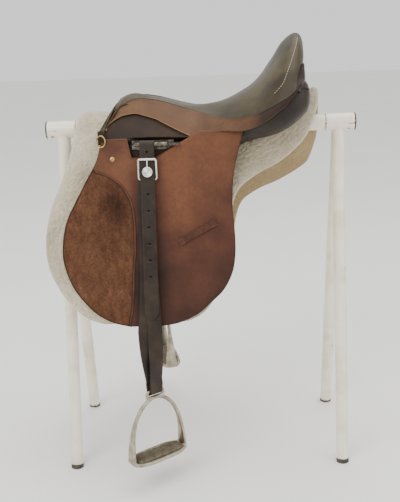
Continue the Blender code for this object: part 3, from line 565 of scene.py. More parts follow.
def makeStand():
    axisZ = (beamLow[2] + beamHigh[2]) / 2
    half = np.array(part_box("stand_sleeve_right")[1])[0]
    seam = half - standSet["sleeve"]
    r = standSet["beamRadius"]
    ease = 0.6 * mm  # how far its ends are rounded
    profile = [(0, 0)] + [(r - ease * (1 - t) ** 2, ease * t) for t in np.linspace(0, 1, 4)]
    profile += [(r, h) for h in np.linspace(2 * mm, 2 * seam - 2 * mm, 90)]
    profile += [(r - ease * t**2, 2 * seam - ease * (1 - t)) for t in np.linspace(0, 1, 4)]
    profile += [(0, 2 * seam)]
    data = turnedData(profile, (-seam, 0, axisZ), (1, 0, 0), 72)
    seamTone = 0.46 * bell(np.abs(data[0][:, 0]) - seam, 3 * mm)
    addPiece("beam", data, looks["paint"], "stand", ["stand_beam"],
             {"tone": seamTone + chipTone(data[0], [(-0.235, -0.010, axisZ - 0.012)])})
    for end, ex in (("left", -1), ("right", 1)):
        rs = standSet["sleeveRadius"]
        long = standSet["sleeve"]
        bore = rs - 1.8 * mm
        corner = [(0.7 * mm * (1 - math.sin(a)), 0.7 * mm * (1 - math.cos(a)))
                  for a in np.linspace(0, math.pi / 2, 5)]
        profile = [(bore, 0)] + [(rs - a, b) for a, b in corner]
        profile += [(rs, h) for h in np.linspace(1.5 * mm, long - 1.5 * mm, 40)]
        profile += [(rs - b, long - a) for a, b in corner] + [(bore, long), (bore, 0)]
        data = turnedData(profile, (ex * seam, 0, axisZ), (ex, 0, 0), 72)
        points = data[0]
        inward = np.abs(np.abs(points[:, 0]) - seam)
        outward = np.abs(np.abs(points[:, 0]) - half)
        tone = 0.50 * bell(inward, 1.6 * mm) + 0.52 * bell(outward, 2.5 * mm)
        crack = bell(points[:, 2] - axisZ + 1 * mm * waves(points, 30 * mm, 5), 0.9 * mm)
        tone = tone + 0.52 * crack * (points[:, 1] < 0) * (outward < 26 * mm)
        tone = tone + chipTone(points, [(ex * (half - 12 * mm), -0.012, axisZ - 0.013)], 6 * mm)
        addPiece("sleeve_" + end, data, looks["paint"], "stand",
                 ["stand_sleeve_" + end], {"tone": tone})
        rim = [(-1.0, 1.5), (-0.1, 1.0), (0.2, 0.2), (0.2, -1.4), (-2.2, -1.7), (-2.2, -10)]
        cap = [(0, 1.5 * mm)] + [(rs + a * mm, b * mm) for a, b in rim] + [(0, -10 * mm)]
        addPiece("cap_" + end, turnedData(cap, (ex * half, 0, axisZ), (ex, 0, 0), 64), looks["cap"],
                 "stand", ["stand_cap_" + end])
        for side, sy in sides.items():
            makeLeg(end, ex, side, sy, half, axisZ)
    print("stand made")


def makeLeg(end, ex, side, sy, half, axisZ):
    leg, foot = f"stand_leg_{end}_{side}", f"stand_foot_{end}_{side}"
    footLow, footHigh = boxOf(foot)
    top = np.array((ex * (half - standSet["legInset"]), 0, axisZ))
    reach = abs((footLow[1] + footHigh[1]) / 2) + standSet["shoe"] * 0.2
    sole = np.array((top[0], sy * reach, 0.0))
    down = unit(sole - top)
    length = np.linalg.norm(sole - top)
    r = standSet["legRadius"]
    start = 12 * mm  # the leg begins inside the sleeve
    run = np.linspace(start, length - standSet["shoe"], 110)
    profile = [(0, start)] + [(r, h) for h in run] + [(0, run[-1])]
    data = turnedData(profile, top, down, 56)
    points = data[0]
    height = points[:, 2]
    tone = 0.30 * bell(height, 12 * mm)
    tone = tone + 0.34 * bell(length - np.linalg.norm(points - top, axis=1), 9 * mm)
    spots = [(top + down * h + np.array((0.7 * r * ex, -0.7 * r, 0))) for h in (0.30, 0.37, 0.55)]
    tone = tone + chipTone(points, spots, 4.5 * mm, 0.5)
    addPiece("leg_" + end + "_" + side, data, looks["paint"], "stand", [leg],
             {"tone": tone})
    # weld bead where the leg meets the sleeve, found by stepping down the leg to the sleeve's radius
    across = np.array((1.0, 0, 0))
    third = np.cross(down, across)
    turn = turns(60)
    rim = r * (np.cos(turn)[:, None] * across + np.sin(turn)[:, None] * third)
    flat = rim[:, 1:]
    slope = down[1:]
    a = slope @ slope
    b = flat @ slope
    c = (flat**2).sum(1) - standSet["sleeveRadius"] ** 2
    h = (-b + np.sqrt(np.maximum(b * b - a * c, 0))) / a
    bead = top + rim + h[:, None] * down
    width = standSet["weld"] * (1 + 0.18 * np.sin(turn * 14))
    data = tubeData(bead, width, unit(rim), 10, closed=True)
    addPiece("weld_" + end + "_" + side, data, looks["paint"], "stand", (),
             {"tone": np.full(len(data[0]), 0.22)})
    base = length - standSet["shoe"]
    shoe = [(0, base + 0.3 * mm), (r - 0.4 * mm, base + 0.3 * mm), (r + 0.2 * mm, base + 1.0 * mm),
            (r + 0.3 * mm, base + 2.0 * mm)]
    shoe = turnedData(shoe + [(r + 0.3 * mm, length + 3 * mm), (0, length + 3 * mm)], top, down, 56)
    shoe[0][:, 2] = np.maximum(shoe[0][:, 2], 0.0)  # the sole is cut level with the floor
    addPiece("shoe_" + end + "_" + side, shoe, looks["foot"], "stand", [foot])


makeStand()

# numnah
numnahSet = {
    "line": [(0, 0.7218), (0.012, 0.7192), (0.0245, 0.7095), (0.034, 0.695), (0.058, 0.655), (0.083, 0.605),
             (0.106, 0.545), (0.122, 0.480), (0.137, 0.410), (0.153, 0.335), (0.169, 0.260), (0.182, 0.195)],
    "front": [(0, -0.226), (0.010, -0.234), (0.028, -0.248), (0.064, -0.257), (0.100, -0.264),
              (0.152, -0.282), (0.190, -0.298), (0.228, -0.308), (0.270, -0.314), (0.316, -0.310),
              (0.352, -0.296), (0.384, -0.276), (0.410, -0.252), (0.428, -0.222), (0.434, -0.190)],
    "rear": [(0, 0.236), (0.012, 0.239), (0.030, 0.238), (0.050, 0.231), (0.082, 0.209), (0.118, 0.158),
             (0.142, 0.110), (0.174, 0.072), (0.230, 0.056), (0.300, 0.052), (0.360, 0.036),
             (0.405, 0.008), (0.428, -0.024), (0.434, -0.060)],
    "slip": 37 * mm, "thick": 10 * mm, "curl": 6 * mm, "pile": 1.3 * mm,
}


def numnahMiddle(across, along):
    # across runs 0..1 from the near hem over the spine to the far hem, along runs front to rear;
    # each cross-section is the same bent line, its far half let down by the slip
    line = curvePoint(numnahSet["line"], np.linspace(0, 1, 400))
    reach = runOf(line)
    front = curvePoint(numnahSet["front"], np.linspace(0, 1, 300))
    rear = curvePoint(numnahSet["rear"], np.linspace(0, 1, 300))
    signed = (2 * across - 1) * numnahSet["front"][-1][0]
    s = np.abs(signed)
    far = signed > 0
    slid = s + np.where(far, 2 * numnahSet["slip"] * np.clip(s / 0.075, 0, 1), 0)
    x0 = np.interp(s, front[:, 0], front[:, 1])
    x1 = np.interp(s, rear[:, 0], rear[:, 1])
    x = x0 + (x1 - x0) * along + np.where(far, 14 * mm * np.clip(s / 0.05, 0, 1), 0)
    y = np.interp(slid, reach, line[:, 0]) * np.sign(signed)
    z = np.interp(slid, reach, line[:, 1])
    lift = 0.044 * ramped(x, 0.07, 0.165) ** 1.5 + 0.010 * np.clip((-x - 0.13) / 0.10, 0, 1)
    z = z + lift * bell(slid, 0.085)
    return np.stack(np.broadcast_arrays(x, y, z), axis=-1)


def makeNumnah():
    # middle surface thickened to a round hem, its outer face broken into curls: the absolute value of
    # smooth noise, which swells between sharp creases
    rows, cols = 380, 230
    size = (2 * numnahSet["front"][-1][0], 0.40)
    hemRadius = numnahSet["thick"] / 2
    u, v = edgeStops(rows, size[0], hemRadius), edgeStops(cols, size[1], hemRadius)
    middle = numnahMiddle(u[:, None], v[None, :])
    normal = unit(np.cross(np.gradient(middle, axis=1), np.gradient(middle, axis=0)))
    normal = normal * np.sign(normal[rows // 2, cols // 2, 2])
    fall = []
    for share, long in zip((u, v), size):
        inside = np.clip(np.minimum(share, 1 - share) * long / hemRadius, 0, 1)
        fall.append(np.sqrt(1 - (1 - inside) ** 2))
    half = hemRadius * np.minimum(fall[0][:, None], fall[1][None, :])
    flat = middle.reshape(-1, 3)
    soft = 1.2 * mm * waves(flat, 70 * mm, 11)
    curl = (np.abs(waves(flat, 2 * numnahSet["curl"], 3)) * 0.65
            + np.abs(waves(flat, numnahSet["curl"], 4)) * 0.35)
    pile = np.clip(curl, 0, 1.4).reshape(half.shape)
    # painted shade and soil: the pile's colour value lowered where the panels' rear and the flap's edge lie over
    # it
    rubAndShade = bell(middle[..., 0] - 0.085, 0.055) * bell(middle[..., 2] - 0.655, 0.040)
    rise = half + np.where(half > 0, soft.reshape(half.shape) + numnahSet["pile"] * (pile - 0.45), 0)
    outer = middle + normal * rise[..., None]
    inner = middle - normal * (half + 0.4 * mm * pile * (half > 0))[..., None]
    edge = (half <= 0)
    hem = 1.6 * mm * np.clip(waves(flat, 9 * mm, 8), -1, 1).reshape(half.shape)
    outer = np.where(edge[..., None], middle + normal * (0.3 * hem)[..., None], outer)
    inner = np.where(edge[..., None], outer, inner)
    data = joinData(gridData(outer), gridData(inner))
    # the inner face's pile value is scaled down, darkening its colour further: painted shade
    made = addPiece("numnah", data, looks["fleece"], "numnah", ["numnah_pad"],
                    {"pile": np.concatenate([(pile - 0.34 * rubAndShade).ravel(), pile.ravel() * 0.6])})
    made.data.materials.append(looks["under"])
    # the inner face, against the beam, is felled flat, and takes a darker, yellower copy of the fleece as painted
    # shade
    centres = np.empty(len(made.data.polygons) * 3)
    turned = np.empty(len(made.data.polygons) * 3)
    made.data.polygons.foreach_get("center", centres)
    made.data.polygons.foreach_get("normal", turned)
    centres, turned = centres.reshape(-1, 3), turned.reshape(-1, 3)
    inward = turned[:, 1] * np.sign(centres[:, 1]) < -0.25
    made.data.polygons.foreach_set("material_index", inward.astype(np.int32))
    for side, sy in sides.items():
        low, high = boxOf("numnah_loop_" + side)
        mid = (low + high) / 2
        run = np.linspace(high[2] - 1 * mm, low[2] + 1 * mm, 12)
        path = np.stack([0 * run + mid[0], 0 * run + mid[1] + sy * 0.5 * mm, run], axis=-1)
        strip = strapData(path, np.tile((1.0, 0, 0), (12, 1)), (high[0] - low[0]) / 2, 1.6 * mm)
        addPiece("girth_loop_" + side, strip, looks["under"], "numnah", ["numnah_loop_" + side],
                 {"pile": np.full(len(strip[0]), 0.5)})
    print("numnah made:", len(made.data.polygons), "faces")


makeNumnah()

# saddle body: one surface from the centre line over the seat's edge down to the skirts' hem
bodySet = {
    # stations front to rear: centre x, centre z, seat edge x, y, z, lower edge x, y, z, in mm
    "stations": np.array([
        (-165, 757, -199, 95, 705, -201, 98, 696), (-149, 766, -185, 93, 709, -187, 100, 696),
        (-136, 769.5, -181, 78, 724, -181, 100, 696), (-122, 769, -168, 60, 739, -168, 100, 696),
        (-108, 766, -152, 47, 752, -152, 100, 696), (-90, 761, -124, 38, 763, -124, 100, 696),
        (-65, 755, -85, 35.5, 759, -85, 100, 696), (-32, 746, -36, 41, 745, -36, 100, 694.5),
        (6, 743.5, 4, 55, 735, -4, 100.5, 696), (45, 749.5, 40, 82, 727, 38, 106, 704),
        (90, 769, 80, 108, 728, 80, 118, 704.5), (130, 804, 110, 122, 737, 107, 128, 713),
        (163, 853, 135, 131, 750, 132, 135, 727), (186, 877, 152, 135, 760, 150, 138, 741),
        (201, 877, 166, 136, 768, 165, 138, 752), (209, 858, 178, 134, 777, 177, 136, 766),
        (208, 828, 190, 130, 787, 190, 132, 780),
    ]) * mm,
    "seatThick": 10.5 * mm, "leather": 4 * mm,
    "arch": ([0, 1.5, 2, 3, 4, 5, 6, 7, 7.6, 8.2, 16],
             [1.30, 1.30, 1.30, 1.33, 1.36, 1.42, 1.56, 1.86, 2, 2, 2]),
}
lastStation = len(bodySet["stations"]) - 1


def bodyPoint(u, f, sy=-1):
    # outer face: u counts stations, f 0..1 runs from the centre line to the seat's edge, 1..2 to the hem
    u, f = np.broadcast_arrays(np.asarray(u, float), np.asarray(f, float))
    k = curvePoint(bodySet["stations"], np.clip(u, 0, lastStation) / lastStation)
    sign = np.where(f < 0, -1, 1)
    a = np.clip(np.abs(f), 0, 1)
    b = np.clip(np.abs(f) - 1, 0, 1)
    x = k[..., 0] + (k[..., 2] - k[..., 0]) * a**2 + (k[..., 5] - k[..., 2]) * b
    y = k[..., 3] * a + (k[..., 6] - k[..., 3]) * b
    z = k[..., 4] + (k[..., 1] - k[..., 4]) * (1 - a**2.2) + (k[..., 7] - k[..., 4]) * b
    z = z + 3 * mm * np.sin(math.pi * b)
    return np.stack([x, y * sy * sign, z], axis=-1)


def bodyNormal(u, f, sy=-1):
    step = 0.01
    du = bodyPoint(u + step, f, sy) - bodyPoint(u - step, f, sy)
    df = bodyPoint(u, f + step, sy) - bodyPoint(u, f - step, sy)
    true = unit(np.cross(du, df))
    side = sy * np.where(np.asarray(f) < 0, -1, 1) + 0 * true[..., 0]
    true = true * np.where(true[..., 2] + 0.4 * true[..., 1] * side < 0, -1, 1)[..., None]
    # towards the pommel's tip, where the stations run together, a steady lean takes its place
    lean = np.radians(52 * np.tanh(1.1 * np.abs(f))) + 0 * side
    fore = -0.45 * np.clip(1 - u / 3, 0, 1)
    plain = np.stack([fore * np.cos(lean), side * np.sin(lean), np.cos(lean)], axis=-1)
    share = (ramped(u, 3.2, 1.6) + 0 * side)[..., None]
    return unit(true * share + plain * (1 - share))


def rimOf(data, border, reach):
    return np.clip(1 - borderDistance(data[0], border) / reach, 0, 1) ** 1.5


def makeSeat():
    # seat: the body surface out to its edge, wall thinner towards the edge and behind, edges rounded
    u = np.concatenate([np.linspace(0, 0.25, 6)[:-1], np.linspace(0.25, 15.7, 170),
                        np.linspace(15.7, 16, 7)[1:]])
    f = np.concatenate([np.linspace(-1, -0.985, 5)[:-1], np.linspace(-0.985, 0.985, 121),
                        np.linspace(0.985, 1, 5)[1:]])
    uu, ff = np.meshgrid(u, f, indexing="ij")
    top = bodyPoint(uu, ff)
    normal = unit(np.cross(np.gradient(top, axis=0), np.gradient(top, axis=1)))
    normal = normal * np.sign(normal[len(u) // 2, len(f) // 2, 2])
    wall = bodySet["seatThick"] * (1 - 0.72 * ff**4) * (1 - 0.5 * ramped(uu, 11, 2))
    edge = np.minimum(np.minimum((1 - np.abs(ff)) / 0.015, uu / 0.25), (16 - uu) / 0.3)
    edge = np.sqrt(1 - (1 - np.clip(edge, 0, 1)) ** 2)
    middle = top - normal * (wall / 2)[..., None]
    plump = 0.5 * mm * waves(top.reshape(-1, 3), 60 * mm, 21).reshape(wall.shape) * (1 - ff**2)
    outer = middle + normal * (wall / 2 * edge + plump * edge)[..., None]
    inner = middle - normal * (wall / 2 * edge)[..., None]
    data = joinData(gridData(outer), gridData(inner))
    band = ramped(np.abs(ff), 0.74, 0.05) * ramped(uu, 11.3, 1.2)
    rim = np.maximum(np.clip(1 - (1 - np.abs(ff)) / 0.03, 0, 1) * 0.7, 0.75 * band)
    made = addPiece("seat", data, looks["seat"], "saddle", ["saddle_seat"],
                    {"rim": np.concatenate([rim.ravel(), rim.ravel()])})

    # facings under the pommel and behind the cantle, so that no raw hollow shows
    def pommelUnder(p, q):
        u, f = 0.35 + 5.2 * p, -1.25 + 2.5 * q
        return bodyPoint(u, f) - 9.5 * mm * bodyNormal(u, f)

    lining = sheetData(pommelUnder, (40, 60), (0.09, 0.2), 2 * mm)
    addPiece("pommel_lining", lining, looks["lining"], "saddle")

    def cantleBack(p, q):
        # from just under the seat's rear edge down to the tops of the panels, bulging a little backwards
        f = -1 + 2 * q
        top = bodyPoint(15.85, 1.01 * f) - np.array((2.0 * mm, 0, 2.0 * mm))
        low = np.stack([0.204 - 0.014 * f**4, np.clip(top[..., 1], -0.094, 0.094),
                        0.762 + 0.018 * np.cos(f * math.pi / 2)], axis=-1)
        sag = np.sin(math.pi * p)[..., None] * np.array((5 * mm, 0, 0))
        return top + (low - top) * p[..., None] + sag

    back = sheetData(cantleBack, (16, 80), (0.05, 0.27), 2.5 * mm)
    addPiece("cantle_back", back, looks["panel"], "saddle")
    # piping in the seam between seat and skirt, welts on the pommel, and the cantle's stitching
    for side, sy in sides.items():
        u = np.linspace(2.6, 15.7, 240)
        path = bodyPoint(u, 1.0, sy) - 0.6 * mm * bodyNormal(u, 1.0, sy)
        addPiece("seat_piping_" + side, tubeData(path, 1.3 * mm, (0, 0, 1.0), 10), looks["seat"], "saddle")
        for number, (u0, u1) in enumerate(((0.18, 0.30), (0.80, 1.30))):
            t = np.linspace(0, 1, 60)
            f = 0.99 - 0.66 * t
            u = u0 + (u1 - u0) * t
            path = bodyPoint(u, f, sy)
            addPiece(f"pommel_welt_{side}_{number + 1}",
                     tubeData(path, 1.7 * mm * (0.3 + 0.7 * np.sin(math.pi * t) ** 0.4),
                              bodyNormal(u, f, sy), 12), looks["seat"], "saddle")
        where = curvePoint([(13.75, 0.30), (13.74, 0.42), (13.65, 0.57), (13.5, 0.69), (13.25, 0.80),
                            (13.0, 0.87), (12.25, 0.90)], np.linspace(0, 1, 120))
        normal = bodyNormal(where[:, 0], where[:, 1], sy)
        path = bodyPoint(where[:, 0], where[:, 1], sy) + 0.55 * mm * normal
        addPiece("cantle_thread_" + side,
                 stitchData(path, unit(normal.mean(axis=0)), 5.4 * mm, 3.4 * mm, 0.75 * mm),
                 looks["thread"], "saddle")
        # facing: a strip turned over the cantle's rear corner, with a raised end
        t = np.linspace(0, 1, 50)
        f = 0.56 + 0.46 * t
        path = bodyPoint(15.75, f, sy) + np.array((2.6 * mm, 0, 0.5 * mm))
        along = unit(bodyPoint(15.75, f, sy) - bodyPoint(15.0, f, sy))
        half = 6.5 * mm * np.clip(t / 0.12, 0.25, 1) ** 0.5
        addPiece("cantle_facing_" + side, strapData(path, along, half, 2.6 * mm), looks["lining"], "saddle")
    print("seat made")


makeSeat()


def makeSkirt(side, sy):
    # skirt: the body surface below the seat's edge, cut away in an arch over the stirrup bar
    archU, archF = bodySet["arch"]
    skirtStart, skirtRun = 1.15, 14.75  # in stations

    def skirtAt(p, q):
        u = skirtStart + skirtRun * p
        low = np.interp(u, archU, archF)
        low = np.where(u < 2.0, 1.06 + (low - 1.06) * np.sqrt(ramped(u, 1.1, 0.9)), low)
        start = 1.0 + 0.02 * ramped(u, skirtStart, 2)
        f = start + (low - start) * q
        under = bodySet["leather"] / 2 * np.clip(0.35 + 2.5 * q, 0, 1)
        return bodyPoint(u, f, sy) - under[..., None] * bodyNormal(u, f, sy)

    data = sheetData(skirtAt, (200, 26), (0.42, 0.05), bodySet["leather"])
    hem = skirtAt(np.linspace(0, 1, 300), np.ones(300))
    fore = ramped(0.012, data[0][:, 0], 0.03)
    rim = rimOf(data, hem, 2.8 * mm) * (0.25 + 0.75 * fore)
    tone = 0.5 - 0.30 * ramped(data[0][:, 0], 0.095, 0.035) + 0.06 * fore
    addPiece("skirt_leather_" + side, data, looks["skirt"], "saddle", ["skirt_" + side],
             {"rim": rim, "tone": tone})
    u = np.linspace(0.03, 0.50, 160)
    edge = skirtAt(u, np.ones(160)) + 1.2 * mm * bodyNormal(skirtStart + skirtRun * u, 1.3, sy)
    addPiece("skirt_edge_" + side, tubeData(edge, 0.55 * mm, (0, 0, 1.0), 8), looks["edge"], "saddle")

    # under-skirt: fills the arch, down to a straight hem above the flap
    def underAt(p, q):
        u = 0.3 + 8.0 * p
        low = np.interp(u, archU, archF) - 0.13
        f = low + (2.03 - low) * q
        return bodyPoint(u, f, sy) - 5.6 * mm * bodyNormal(u, f, sy)

    data = sheetData(underAt, (110, 40), (0.2, 0.06), 2.2 * mm)
    hem = underAt(np.linspace(0, 1, 200), np.ones(200))
    addPiece("under_skirt_" + side, data, looks["lining"], "saddle",
             ["underskirt_" + side], {"rim": rimOf(data, hem, 2.0 * mm)})


panelSet = {
    # x, then y, z, radius of the upper circle and y, z, radius of the lower one, in mm
    "sections": np.array([
        (-184, 76, 668, 5, 98, 620, 3), (-172, 72, 674, 11, 99, 608, 5), (-120, 70, 678, 13, 99.5, 605, 5.5),
        (-60, 69.5, 679, 14, 99.5, 605, 5.5), (0, 69, 679, 14, 99.5, 606, 5.5), (36, 70, 682, 14.5, 88, 640, 6.5),
        (75, 72, 694, 18, 77.5, 678, 15), (110, 78.5, 708, 23, 80, 698, 20), (145, 83, 732, 30, 85, 716, 27),
        (178, 84, 758, 35, 84, 738, 33), (200, 83, 768, 30, 83, 752, 29), (212, 82, 769, 20, 82, 755, 19),
        (217, 82, 766, 6, 82, 757, 6)]) * mm,
    "voxel": 5 * mm, "pressure": 4.0, "cap": 5 * mm,
}


def panelData(sy):
    # each section is the hull of two circles, as a flattened tube stuffed between two hides
    k = curvePoint(panelSet["sections"], np.linspace(0, 1, 80))
    turn = np.arctan2(k[:, 5] - k[:, 2], k[:, 4] - k[:, 1])[:, None]
    first = np.linspace(math.pi / 2, 3 * math.pi / 2, 20)[None, :] + turn
    second = np.linspace(-math.pi / 2, math.pi / 2, 20)[None, :] + turn
    y = np.concatenate([k[:, 1:2] + k[:, 3:4] * np.cos(first), k[:, 4:5] + k[:, 6:7] * np.cos(second)], 1)
    z = np.concatenate([k[:, 2:3] + k[:, 3:4] * np.sin(first), k[:, 5:6] + k[:, 6:7] * np.sin(second)], 1)
    return cappedData(np.stack([np.broadcast_to(k[:, :1], y.shape), sy * y, z], axis=-1))


def inflate(obj, voxel, pressure, cap):
    # cloth under pressure: an even mesh of the piece swells for 20 frames, each point by no more than cap
    scene = bpy.context.scene
    remesh = obj.modifiers.new("even", "REMESH")
    remesh.mode = "VOXEL"
    remesh.voxel_size = voxel
    graph = bpy.context.evaluated_depsgraph_get()
    even = bpy.data.meshes.new_from_object(obj.evaluated_get(graph))
    obj.modifiers.remove(remesh)
    look = obj.data.materials[0]
    obj.data = even
    if not even.materials:
        even.materials.append(look)
    count = len(even.vertices)
    before = np.empty(count * 3)
    even.vertices.foreach_get("co", before)
    cloth = obj.modifiers.new("stuffing", "CLOTH")
    cloth.settings.use_pressure = True
    cloth.settings.uniform_pressure_force = pressure
    cloth.settings.effector_weights.gravity = 0
    cloth.settings.quality = 5
    for number in range(1, 21):
        scene.frame_set(number)
    graph = bpy.context.evaluated_depsgraph_get()
    swollen = obj.evaluated_get(graph).to_mesh()
    after = np.empty(count * 3)
    swollen.vertices.foreach_get("co", after)
    obj.evaluated_get(graph).to_mesh_clear()
    obj.modifiers.remove(cloth)
    scene.frame_set(1)
    move = (after - before).reshape(-1, 3)
    size = np.linalg.norm(move, axis=1, keepdims=True)
    move = move * np.minimum(1, cap / np.maximum(size, 1e-9))
    even.vertices.foreach_set("co", (before.reshape(-1, 3) + move).ravel())
    even.update()


def makePanel(side, sy):
    made = addPiece("stuffed_panel_" + side, panelData(sy), looks["panel"], "saddle",
                    ["panel_" + side])
    inflate(made, panelSet["voxel"], panelSet["pressure"], panelSet["cap"])
    made.data.shade_smooth()
    rounder = made.modifiers.new("rounder", "SUBSURF")
    rounder.levels = rounder.render_levels = 1
    # welt along the panel's upper seam, between its two hides
    k = curvePoint(panelSet["sections"], np.linspace(0.42, 0.91, 90))
    out = (k[:, 3] + k[:, 6]) / 2
    path = np.stack([k[:, 0], sy * ((k[:, 1] + k[:, 4]) / 2 + (out + 3 * mm) * math.cos(0.75)),
                     (k[:, 2] + k[:, 5]) / 2 + (out + 3 * mm) * math.sin(0.75)], -1)
    addPiece("panel_welt_" + side, tubeData(path, 1.5 * mm, (0, 0, 1.0), 10), looks["panel"], "saddle")

    def facing(p, q):
        # leather from under the skirt's hem down into the top of the panel, so that no hollow shows
        u = 10.2 + 5.65 * p
        f = np.interp(u, *bodySet["arch"]) - 0.05
        top = bodyPoint(u, f, sy) - 4.2 * mm * bodyNormal(u, f, sy)
        k = panelSet["sections"]
        x = np.minimum(top[..., 0], 0.205)
        low = np.stack([x, sy * np.interp(x, k[:, 0], k[:, 1]),
                        np.interp(x, k[:, 0], k[:, 2] + 0.35 * k[:, 3])], axis=-1)
        low[..., 1] = low[..., 1] * 0.6 + top[..., 1] * 0.4
        return top + (low - top) * q[..., None]

    addPiece("panel_facing_" + side,
             sheetData(facing, (110, 14), (0.22, 0.04), 2 * mm), looks["panel"], "saddle")


for side, sy in sides.items():
    makeSkirt(side, sy)
    makePanel(side, sy)
print("skirts and panels made")

# tree and stirrup bars: CAD solids that stay, in their finished materials
stay = {node + side: "steel" for side in sides for node in ("stirrup_bar_", "bar_catch_")}
stay["saddle_tree"] = "wood"
for node, look in stay.items():
    frame["nodes"][node].data.materials.clear()
    frame["nodes"][node].data.materials.append(looks[look])

# flaps, with all that is sewn to them, sweat flaps and girth straps
flapSet = {
    # edges of the flap as (x, distance down from its top), in mm
    "front": [(-192, -3), (-202, 34), (-212, 55), (-229, 84), (-246, 116), (-263, 147), (-273, 180),
              (-277, 220), (-272, 252), (-260, 284), (-241, 313), (-214, 341), (-182, 359), (-147, 368)],
    "rear": [(86, -14), (75, 24), (67, 57), (62, 93), (60.5, 136), (63, 172), (64.5, 205), (63, 237),
             (56, 268), (39, 299), (14, 323), (-12, 345), (-50, 362), (-89, 368)],
    "patch": [(-207, 61), (-187, 68), (-168, 79), (-151, 97), (-139, 122), (-134, 153), (-134, 216),
              (-137, 246), (-140, 290), (-143, 330), (-150, 366)],
    "notch": ([-400, -140, -132, -84, -48, -10, 0, 400], [-3, -3, 35, 35, 12.5, -8, -14, -14]),
    # scratches: x, z and half their height, in m
    "scratches": [(-0.048, 0.585, 0.022), (-0.043, 0.560, 0.030), (-0.030, 0.600, 0.012)],
    "top": -10.4 * mm, "face": -7.9 * mm, "thick": 5 * mm, "nail": 37 * mm,
}


def flapBulge(x, q):
    # how far the leather stands off flat: a slow wave, and the rear edge turned a little outwards
    curl = 3.5 * mm * ramped(x, 0.010, 0.055) ** 2 * ramped(q, 0.05, 0.12)
    return curl + 0.6 * mm * np.sin(x * 31 + 1.0) * ramped(x, -0.02, 0.04)


def flapPoint(x, q, d, side):
    return slopePoint(x, flapSet["top"] + q, flapSet["face"] + d + flapBulge(x, q), side)


def flapRows(front, rear, p, q):
    # straight rows between a front and a rear edge
    a = curvePoint(np.array(front) * mm, p)
    b = curvePoint(np.array(rear) * mm, p)
    return a + (b - a) * q[..., None]


